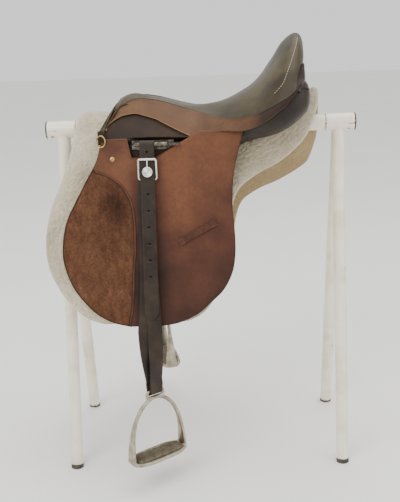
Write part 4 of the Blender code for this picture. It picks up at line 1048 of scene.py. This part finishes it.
def makeFlap(side, sy):
    thick = flapSet["thick"]

    def flapAt(p, m):
        flat = flapRows(flapSet["front"], flapSet["rear"], p, m)
        x, q = flat[..., 0], flat[..., 1]
        x = x + (22 * mm if sy > 0 else 0) * m * bell(q - 0.165, 0.055)
        topX = (-190 + 276 * m) * mm
        drop = np.interp(topX / mm, *flapSet["notch"]) * mm - q[:1]
        q = q + drop * np.clip(1 - p / 0.16, 0, 1) ** 2
        return flapPoint(x, q, -thick / 2, side)

    # more columns at the notch's two steps
    columns = np.unique(np.concatenate([edgeStops(64, 0.30, thick / 2), np.linspace(0.172, 0.232, 22),
                                        np.linspace(0.38, 0.42, 6)]))
    data = sheetData(flapAt, (130, 64), (0.38, 0.30), thick, columns)
    rows = np.linspace(0, 1, 260)
    border = np.concatenate([flapAt(rows, 0 * rows), flapAt(rows, 0 * rows + 1), flapAt(0 * rows, rows),
                             flapAt(0 * rows + 1, rows)])
    distance = borderDistance(data[0], border)
    rim = np.clip(1.3 - distance / (3.0 * mm), 0, 1)
    crease = 0.55 * bell(distance - 5.5 * mm, 0.7 * mm)
    points = data[0]
    x, z = points[:, 0], points[:, 2]
    # tone: darker and redder low and behind, grey-brown beside the strap, darker at the head, pale scratches
    tone = 0.54 + 0.16 * np.tanh((z - 0.530) / 0.11) - 0.06 * np.clip((x - 0.02) / 0.05, -1, 1)
    head = bell(x + 0.172, 0.032) * bell(z - 0.682, 0.028)
    beside = bell(x + 0.128, 0.014) + 0.7 * bell(x + 0.080, 0.012)
    tone = tone - 0.22 * head - 0.15 * beside * ramped(0.66, z, 0.05)
    scratch = np.zeros(len(points))
    for number, (sx, sz, tall) in enumerate(flapSet["scratches"]):
        wander = 1.2 * mm * np.sin(z * 160 + number)
        scratch = scratch + bell(x - sx - wander, 0.8 * mm) * np.exp(-((z - sz) / tall) ** 4)
    tone = tone + 0.22 * scratch
    addPiece("flap_leather_" + side, data, looks["flap"], None, ["flap_" + side],
             {"rim": np.maximum(rim, crease), "tone": tone},
             blend=("saddle", "flap_" + side, slopePoint(0, -0.014, -0.010, side),
                    slopePoint(0, 0.004, -0.010, side)))

    # knee patch of suede, its binding, and the two seams beside it
    def patchAt(p, m):
        front = [(a + 1.6, b) for a, b in flapSet["front"][2:]]
        flat = flapRows(front, flapSet["patch"], p, m)
        return flapPoint(flat[..., 0], flat[..., 1], 1.1 * mm, side)

    data = sheetData(patchAt, (120, 60), (0.32, 0.13), 1.8 * mm)
    rows = np.linspace(0, 1, 220)
    border = np.concatenate([patchAt(rows, 0 * rows), patchAt(rows, 0 * rows + 1), patchAt(0 * rows, rows)])
    rim = np.clip(1.2 - borderDistance(data[0], border) / (2.8 * mm), 0, 1)
    points = data[0]
    rubAndShade = bell(points[:, 0] + 0.168, 0.026) * bell(points[:, 2] - 0.570, 0.034)
    rubAndShade = rubAndShade + 0.45 * bell(points[:, 0] + 0.180, 0.050) * bell(points[:, 2] - 0.545, 0.070)
    tone = 0.55 - 0.22 * rubAndShade - 0.04 * ramped(0.42, points[:, 2], 0.08)
    addPiece("knee_suede_" + side, data, looks["suede"], "flap_" + side,
             ["knee_patch_" + side], {"rim": rim, "tone": tone})
    edge = curvePoint(np.array(flapSet["patch"]) * mm, rows)
    path = flapPoint(edge[:, 0] + 0.8 * mm, edge[:, 1], 0.9 * mm, side)
    out = hingeOf(side)[1]
    across = unit(np.cross(np.gradient(path, axis=0), out))
    addPiece("patch_binding_" + side,
             strapData(path, across, 2.2 * mm, 2.0 * mm, np.tile(out, (len(path), 1))), looks["keeper"],
             "flap_" + side)
    seam = flapPoint(edge[:, 0] + 0.8 * mm, edge[:, 1], 1.95 * mm, side)
    addPiece("patch_thread_" + side, stitchData(seam[4:-4], out, 4.0 * mm, 2.7 * mm, 0.35 * mm),
             looks["darkThread"], "flap_" + side)

    # saddle nail: a domed brass head
    low, high = boxOf("flap_stud_" + side)
    at = slopePoint((low[0] + high[0]) / 2, flapSet["nail"] + flapSet["top"],
                    flapSet["face"] + 0.1 * mm, side)
    turn = np.linspace(0, math.pi / 2, 10)
    curve = np.stack([5.0 * np.cos(turn), 0.6 + 1.9 * np.sin(turn)], axis=-1)
    dome = np.concatenate([[(0, 0), (5.0, 0)], curve]) * mm
    addPiece("saddle_nail_" + side, turnedData(dome, at, out, 40), looks["brass"], "flap_" + side,
             ["flap_stud_" + side])

    # keeper: a strip let in across the flap, bowed up a little, boxed with stitches at both ends
    t = np.linspace(0, 1, 60)
    x, q = -45 * mm + 72 * mm * t, (203 - 38.5 * t) * mm
    path = flapPoint(x, q, 1.7 * mm + 1.4 * mm * np.sin(math.pi * t) ** 0.6, side)
    across = unit(np.cross(path[-1] - path[0], out))
    width = np.tile(across, (len(t), 1))
    half = 6.2 * mm + 0.9 * mm * ramped(np.abs(t - 0.5), 0.36, 0.05)
    addPiece("strap_keeper_" + side, strapData(path, width, half, 2.0 * mm, np.tile(out, (len(t), 1))),
             looks["keeper"], "flap_" + side, ["keeper_" + side])
    threads = []
    along = unit(path[-1] - path[0])
    for end in (path[3], path[-4]):
        lift = out * 1.15 * mm
        corners = [end + lift + along * a * mm + across * b * mm for a, b in
                   ((-4, -5), (4, -5), (4, 5), (-4, 5), (-4, -5))]
        for a, b in zip(corners[:-1], corners[1:]):
            threads.append(stitchData(np.linspace(a, b, 6), out, 2.4 * mm, 1.7 * mm, 0.32 * mm))
    addPiece("keeper_thread_" + side, joinData(*threads), looks["darkThread"], "flap_" + side)

    # sweat flap and girth straps, under the flap
    inside = -thick - 5.2 * mm

    def sweatAt(p, m):
        front = [(a + 14, -12 + 0.88 * b) for a, b in flapSet["front"][1:]]
        rear = [(a - 24, -2 + 0.88 * b) for a, b in flapSet["rear"][1:]]
        flat = flapRows(front, rear, p, m)
        return slopePoint(flat[..., 0], flapSet["top"] + flat[..., 1],
                          flapSet["face"] + inside - 1.5 * mm, side)

    data = sheetData(sweatAt, (80, 50), (0.32, 0.25), 2.8 * mm)
    border = np.concatenate([sweatAt(rows, 0 * rows), sweatAt(rows, 0 * rows + 1)])
    addPiece("sweat_leather_" + side, data, looks["lining"], "saddle",
             ["sweat_flap_" + side], {"rim": np.clip(1.1 - borderDistance(data[0], border) / (2.4 * mm), 0, 1)})
    for place in ("front", "rear"):
        node = f"girth_strap_{place}_{side}"  # the node and its body have the same name
        low, high = boxOf(node)
        middleX = (low[0] + high[0]) / 2
        run = np.linspace(0.0140, 0.2915, 90)
        path = slopePoint(middleX, run, flapSet["face"] - thick - 2.7 * mm, side)
        half = np.interp(run, [0, 0.272, 0.284, 0.2915], [12.5 * mm, 12.5 * mm, 8 * mm, 3 * mm])
        strip = strapData(path, np.tile((1.0, 0, 0), (len(run), 1)), half, 3.4 * mm,
                          np.tile(out, (len(run), 1)))
        addPiece(f"girth_billet_{place}_{side}", strip, looks["strap"], node, [node])
        # the billet holes are not cut: thin near-black discs of the cap material lie on the strap, painted shade
        # in place of each hole's depth
        holeShadeDisc = np.array([(0, -0.1), (2.4, -0.1), (2.4, 0.12), (1.6, 0.05), (0, 0)]) * mm
        holes = [turnedData(holeShadeDisc, slopePoint(middleX, s, flapSet["face"] - thick - 1.0 * mm, side), out, 16)
                 for s in 0.115 + 0.025 * np.arange(6)]
        addPiece(f"billet_hole_shades_{place}_{side}", joinData(*holes), looks["cap"], node)


for side, sy in sides.items():
    makeFlap(side, sy)
print("flaps made")

# stirrup leathers, buckles and irons
stirrupSet = {
    "width": 28.6 * mm, "thick": 3.5 * mm, "gap": 0.5 * mm, "bar": 4.5 * mm, "eye": 3.2 * mm,
    "holes": [0.0146, 0.0965, 0.1285, 0.1605, 0.1926, 0.2247, 0.2567], "holeRadius": 2.1 * mm,
    "tailEnd": 0.343, "buckleLow": 0.067, "buckleHigh": 0.029, "wire": 2.2 * mm,
}


def strapPath(side, sy):
    # the whole strap from its buckle end: down to the iron, round the iron's eye, up behind, over the bar
    # and down in front as the loose tail; below the flap it turns about its middle towards the iron
    eyeJoint = jointAt["iron_swing_" + side]
    bar, out = hingeOf(side)
    down = slopePoint(0, 1, 0, side) - slopePoint(0, 0, 0, side)
    eyeS = float((np.array(eyeJoint["pos_m"]) - bar) @ down)
    middle = float((np.array(eyeJoint["pos_m"]) - bar) @ out)
    across = np.array(eyeJoint["axis"])
    turnEnd = math.atan2(-sy * across[1], across[0])
    thick, gap = stirrupSet["thick"], stirrupSet["gap"]
    back = middle - (thick + gap) / 2
    front = middle + (thick + gap) / 2
    tail = front + thick + gap
    flapLow = flapSet["top"] + 0.372
    wrap = stirrupSet["eye"] + 0.9 * mm + thick / 2
    over = stirrupSet["bar"] + 0.3 * mm + thick / 2
    bend = math.pi * np.linspace(0, 1, 11)[1:-1]
    lower = np.linspace(flapLow, eyeS - 0.022, 9)
    s = np.concatenate([[0.0705, 0.11, 0.15, 0.20, 0.25, 0.30], lower, [eyeS - 0.012],
                        eyeS + wrap * np.sin(bend), [eyeS - 0.012], lower[::-1],
                        [0.30, 0.25, 0.20, 0.15, 0.10, 0.05, 0.030, 0.016, 0.008]])
    d = np.concatenate([np.full(15, front), [middle + wrap], middle + wrap * np.cos(bend),
                        [middle - wrap], np.full(15, back), [-3.3 * mm, -4.4 * mm, -6.2 * mm]])
    aside = np.zeros(len(s))
    aside[26:] = -7 * mm * ramped(s[26:], 0.030, 0.05)
    share = ramped(s, flapLow, eyeS - 0.014 - flapLow)
    share = share * share * (3 - 2 * share)
    angle = turnEnd * share
    # below the flap the two layers bow apart
    bow = np.sin(math.pi * np.clip((s - flapLow + 0.070) / (eyeS - 0.010 - flapLow + 0.070), 0, 1))
    bow = np.clip(bow, 0, 1) ** 0.55 * np.where(np.arange(len(s)) < 21, 4.5 * mm, -8 * mm)
    x = bar[0] + aside * (1 - share) + (d - middle) * np.sin(angle) + bow
    level = middle + (d - middle) * np.cos(angle)
    cosS, sinS = abs(out[1]), out[2]
    width = np.stack([np.cos(angle), -sy * np.sin(angle) * (cosS + (1 - cosS) * share),
                      -np.sin(angle) * sinS * (1 - share)], axis=-1)
    path = slopePoint(x, s, level, side)
    top = math.pi * np.linspace(0, 1, 13)
    tip = stirrupSet["tailEnd"] - np.array((0.016, 0.006, 0))
    s2 = np.concatenate([-over * np.sin(top), [0.008, 0.014, 0.022, 0.032, 0.045, 0.070, 0.11, 0.16, 0.21,
                                               0.26, 0.30], tip])
    d2 = np.concatenate([-over * np.cos(top), [over, over + 0.3 * mm], np.full(12, tail)])
    path = np.concatenate([path, slopePoint(bar[0], s2, d2, side)])
    width = np.concatenate([width, np.tile((1.0, 0, 0), (len(s2), 1))])
    half = np.ones(len(path)) * stirrupSet["width"] / 2
    half[-3:] = np.array([1.0, 0.62, 0.16]) * stirrupSet["width"] / 2  # the tail's rounded point
    return path, width, half, tail, front, out


def cutHoles(obj, data):
    # punched holes: a cylinder for each, taken out with one Boolean, then applied
    cutter = addPiece("punch", data, looks["strap"], "stand")
    modifier = obj.modifiers.new("punched", "BOOLEAN")
    modifier.operation = "DIFFERENCE"
    modifier.solver = "EXACT"
    modifier.object = cutter
    graph = bpy.context.evaluated_depsgraph_get()
    mesh = bpy.data.meshes.new_from_object(obj.evaluated_get(graph))
    obj.modifiers.remove(modifier)
    obj.data = mesh
    bpy.data.objects.remove(cutter)


def makeStirrupStrap(side, sy):
    path, width, half, tail, front, out = strapPath(side, sy)
    both = np.concatenate([path, width, half[:, None]], axis=1)
    fine = curvePoint(both, np.linspace(0, 1, 700))
    run = runOf(fine[:, :3])
    want = np.linspace(0, run[-1], 520)
    fine = np.stack([np.interp(want, run, fine[:, k]) for k in range(7)], axis=-1)
    path, width, half = fine[:, :3], unit(fine[:, 3:6]), fine[:, 6]
    data = strapData(path, width, half, stirrupSet["thick"])
    x0 = float(hingeOf(side)[0][0])
    # the burnished edges are the ring's points near both ends of its width
    turn = turns(28)
    edge = np.tile(ramped(np.abs(np.cos(turn)), 0.62, 0.2), len(path) + 2)
    strap = addPiece("stirrup_strap_" + side, data, looks["strap"], "leather_" + side,
                     attributes={"rim": edge})
    holes = [turnedData([(0, -2.2 * mm), (stirrupSet["holeRadius"], -2.2 * mm),
                         (stirrupSet["holeRadius"], 3 * mm), (0, 3 * mm)],
                        slopePoint(x0, s, tail, side), out, 16) for s in stirrupSet["holes"]]
    cutHoles(strap, joinData(*holes))
    strap.parent = None
    slopePoint(x0, 0.006, 0, side)
    slopePoint(x0, 0.026, 0, side)
    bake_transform(strap)
    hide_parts("leather_turn_" + side, "stirrup_leather_" + side, "leather_tail_" + side)
    # the crease lines pressed along both edges of the tail
    lines = []
    for edge in (-1, 1):
        run = np.linspace(0.085, stirrupSet["tailEnd"] - 0.030, 60)
        line = slopePoint(x0 + edge * (stirrupSet["width"] / 2 - 2.6 * mm), run,
                          tail + stirrupSet["thick"] / 2 - 0.02 * mm, side)
        lines.append(tubeData(line, 0.28 * mm, out, 6))
    addPiece("strap_creases_" + side, joinData(*lines), looks["keeper"], "leather_" + side)

    # buckle: a rounded frame of flat wire that leans outwards at the top, over the tail
    wire = stirrupSet["wire"]
    low, high = stirrupSet["buckleLow"], stirrupSet["buckleHigh"]
    frameTop = tail + stirrupSet["thick"] / 2 + 0.3 * mm + wire
    halfW = stirrupSet["width"] / 2 + 0.7 * mm + wire
    corner = 3.6 * mm
    xs, ss = [], []
    for cx, cs, first in ((halfW - corner, low - corner, 0), (-halfW + corner, low - corner, 90),
                          (-halfW + corner, high + corner, 180), (halfW - corner, high + corner, 270)):
        turn = np.radians(np.linspace(first, first + 90, 10))
        xs.append(cx + corner * np.cos(turn))
        ss.append(cs + corner * np.sin(turn))
    xs, ss = np.concatenate(xs), np.concatenate(ss)
    lean = (low - ss) / (low - high)
    loop = slopePoint(x0 + xs, ss, front + (frameTop - front) * lean, side)
    fine = curvePoint(np.concatenate([loop, loop[:1]]), np.linspace(0, 1, 161))[:-1]
    addPiece("buckle_" + side, tubeData(fine, wire, out, 14, flat=0.85, closed=True), looks["nickel"],
             "leather_" + side, ["buckle_frame_" + side])
    tongueS = np.array([low - 0.4 * mm, 0.060, 0.052, 0.041, high - 1.5 * mm])
    tongueD = np.array([front, front + 1.2 * mm, tail + 1.9 * mm, tail + 4.0 * mm,
                        frameTop + wire + 1.0 * mm])
    tongue = evenPath(slopePoint(x0, tongueS, tongueD, side), 0.7 * mm)
    addPiece("tongue_" + side, tubeData(tongue, 1.35 * mm, (1.0, 0, 0), 12), looks["nickel"],
             "tongue_" + side, ["buckle_tongue_" + side])
    # round boss with two turned rings and a small button
    boss = np.array([(0, 0), (8.8, 0), (9.7, 0.4), (10, 1.0), (9.5, 1.7), (8.6, 1.9), (8.0, 1.5), (6.6, 1.5),
                     (6.1, 1.9), (5.2, 2.1), (4.4, 1.7), (2.2, 1.7), (1.6, 2.3), (0, 2.5)]) * mm
    addPiece("tongue_boss_" + side, turnedData(boss, slopePoint(x0, 0.0535, tail + 4.2 * mm, side), out, 56),
             looks["nickel"], "tongue_" + side, ["buckle_boss_" + side])


ironSet = {"width": 116 * mm, "height": 150 * mm, "foot": 23 * mm}


def makeIron(side):
    joint = jointAt["iron_swing_" + side]
    eye, across = np.array(joint["pos_m"]), np.array(joint["axis"])
    through = np.cross((0, 0, 1), across)

    def at(a, b, c):
        a, b, c = (np.asarray(v, float)[..., None] for v in np.broadcast_arrays(a, b, c))
        return eye + a * across + b * through + c * np.array((0, 0, 1))

    v = np.linspace(0, math.pi, 90)
    a = -(ironSet["width"] / 2 + 3 * mm) * np.cos(v) * (1 - 0.10 * np.sin(v) ** 6)
    c = -ironSet["height"] + 12 * mm + (ironSet["height"] - 26 * mm) * np.sin(v) ** 0.80
    # the bow: an oval bar, flattened and widened fore and aft towards the foot
    line = at(a, 0, c)
    inward = unit(np.cross(np.gradient(line, axis=0), through))
    turn = turns(28)
    spread = 4.4 * mm + 9.5 * mm * ramped(0.62, np.sin(v), 0.62) ** 1.3
    body = 4.6 * mm - 0.8 * mm * np.sin(v)
    bow = (line[:, None] + (body[:, None] * np.cos(turn))[..., None] * inward[:, None]
           + (spread[:, None] * np.sin(turn))[..., None] * through)
    arch = cappedData(bow)
    halfEye, low = stirrupSet["width"] / 2 + 2.8 * mm, -13.5 * mm
    turn = turns(80)
    cx = rounded(np.cos(turn), 0.35)
    cz = rounded(np.sin(turn), 0.55)
    ring = at((halfEye + 2 * mm) * cx, 0, low / 2 - low / 2 * cz)
    eyeRing = tubeData(ring, stirrupSet["eye"], through, 16, closed=True)
    footC = -ironSet["height"] + 8.5 * mm
    turn = turns(140)
    rimA = (ironSet["width"] / 2 + 1.8 * mm) * rounded(np.cos(turn), 0.5)
    rimB = ironSet["foot"] * rounded(np.sin(turn), 0.85)
    rim = tubeData(at(rimA, rimB, footC), 4.2 * mm, (0, 0, 1.0), 16, closed=True)
    # shoulders from the bow into the foot at both ends, and the lug under the middle
    halfWidth = ironSet["width"] / 2
    extra = [tubeData(at(np.linspace(-6, 6, 10) * mm, 0, footC - 6.0 * mm), 3.6 * mm, (0, 0, 1.0), 12)]
    for end in (-1, 1):
        shoulder = at(end * (halfWidth + 0.5 * mm), np.linspace(-13, 13, 12) * mm, footC + 1.0 * mm)
        extra.append(tubeData(shoulder, 4.4 * mm, (0, 0, 1.0), 12))
    bar = tubeData(at(np.linspace(-halfWidth, halfWidth, 30), 0, footC - 2.2 * mm), 3.2 * mm, (0, 0, 1.0), 10)
    made = addPiece("stirrup_iron_" + side, joinData(arch, eyeRing, rim, bar, *extra), looks["casting"],
                    "iron_" + side, ["iron_" + side])
    cast = made.modifiers.new("cast", "REMESH")  # one casting: the bars flow into each other
    cast.mode = "VOXEL"
    cast.voxel_size = 1.0 * mm
    ease = made.modifiers.new("ease", "SMOOTH")
    ease.factor, ease.iterations = 0.5, 6
    graph = bpy.context.evaluated_depsgraph_get()
    mesh = bpy.data.meshes.new_from_object(made.evaluated_get(graph))
    made.modifiers.clear()
    made.data = mesh
    mesh.shade_smooth()
    if not mesh.materials:
        mesh.materials.append(looks["casting"])

    # tread: a rubber block with round edges and cross ribs on top
    innerA, innerB = ironSet["width"] / 2 - 3.6 * mm, ironSet["foot"] - 5.2 * mm
    p, q = np.meshgrid(np.linspace(-1, 1, 240), np.linspace(-1, 1, 40), indexing="ij")
    plan = np.sqrt(np.clip(1 - np.abs(p) ** 6, 0, 1)) ** 0.6
    aa, bb = innerA * p, innerB * q * (0.35 + 0.65 * plan)
    fall = np.minimum(1, np.minimum((1 - np.abs(p)) / 0.03, (1 - np.abs(q)) / 0.09))
    fall = np.sqrt(1 - (1 - fall) ** 2)
    ribs = 0.9 * mm * np.clip(1.6 * np.sin(aa / (4.0 * mm) * 2 * math.pi), -1, 1) * (np.abs(q) < 0.82)
    topC = footC + 6.0 * mm * fall + ribs * (fall > 0.9)
    lowC = footC - 5.0 * mm * fall
    data = joinData(gridData(at(aa, bb, topC)), gridData(at(aa, bb, lowC)))
    addPiece("tread_pad_" + side, data, looks["tread"], "iron_" + side,
             ["iron_tread_" + side])


def makeDee(side, sy):
    joint = jointAt["dee_swing_" + side]
    at = np.array(joint["pos_m"])
    turn = turns(72)
    ring = at + np.stack([8.2 * mm * np.cos(turn), 0 * turn, -10.5 * mm + 11.0 * mm * np.sin(turn)], axis=-1)
    addPiece("dee_ring_" + side, tubeData(ring, 1.5 * mm, (0, 1.0, 0), 12, closed=True), looks["brass"],
             "dee_" + side, ["dee_" + side])
    # leather tab that holds the ring, folded over its top and let into the pommel
    t = np.linspace(0, 1, 16)
    fold = np.stack([0 * t, sy * (-5.5 + 2.5 * np.sin(math.pi * t)) * mm, (9 - 27 * t) * mm], -1)
    strip = strapData(at + fold, np.tile((1.0, 0, 0), (16, 1)), 6.2 * mm, 2.0 * mm)
    addPiece("dee_tab_" + side, strip, looks["lining"], "saddle")


for side, sy in sides.items():
    makeStirrupStrap(side, sy)
    makeIron(side)
    makeDee(side, sy)
print("stirrups and dees made")

# floor, light and camera
studioSet = {"floor": "#f4f3f0", "world": "#ffffff", "worldPower": 1.1}


def makeStudio():
    bpy.ops.mesh.primitive_plane_add(size=14, location=(0, 2, 0))
    floor = bpy.context.object
    floor.name = "floor"
    made, tree, shader, place = newMaterial("paintedFloor", 0.7)
    grain = addNode(tree, "TexNoise", {"Vector": place}, {"Scale": 3.0, "Detail": 3})
    tone = rampNode(tree, grain.outputs["Fac"], [(0.3, linear("#f1f0ed")), (0.7, linear(studioSet["floor"]))])
    tree.links.new(tone, shader.inputs["Base Color"])
    floor.data.materials.append(made)
    world = bpy.data.worlds.new("studio")
    bpy.context.scene.world = world
    world.use_nodes = True
    world.node_tree.nodes["Background"].inputs["Color"].default_value = linear(studioSet["world"])
    world.node_tree.nodes["Background"].inputs["Strength"].default_value = studioSet["worldPower"]
    for name, place, aim, size, power in (
            ("key", (-1.3, -1.9, 2.3), (0, 0, 0.5), 1.6, 42),
            ("overhead", (0.3, 0.2, 2.7), (0, 0, 0.5), 2.2, 44),
            ("fill", (2.2, -1.6, 1.2), (0, 0, 0.5), 1.8, 16)):
        lamp = bpy.data.lights.new(name, "AREA")
        lamp.shape = "SQUARE"
        lamp.size = size
        lamp.energy = power
        obj = bpy.data.objects.new(name, lamp)
        back = unit(np.array(place, float) - np.array(aim))
        right = unit(np.cross((0, 0, 1), back))
        obj.matrix_world = columnsMatrix(right, np.cross(back, right), back, place)
        bpy.context.scene.collection.objects.link(obj)


def columnsMatrix(right, up, back, place):
    return Matrix([[right[k], up[k], back[k], place[k]] for k in range(3)] + [[0, 0, 0, 1]])


def makeCamera():
    data = bpy.data.cameras.new("camera")
    data.lens = cameraSet["lens"]
    data.sensor_width = 36
    data.sensor_fit = "AUTO"
    data.clip_start = 0.05
    camera = bpy.data.objects.new("camera", data)
    right, up = np.array(cameraSet["right"]), np.array(cameraSet["up"])
    camera.matrix_world = columnsMatrix(right, up, np.cross(right, up), cameraSet["place"])
    bpy.context.scene.collection.objects.link(camera)
    bpy.context.scene.camera = camera


makeStudio()
makeCamera()
print("studio made")
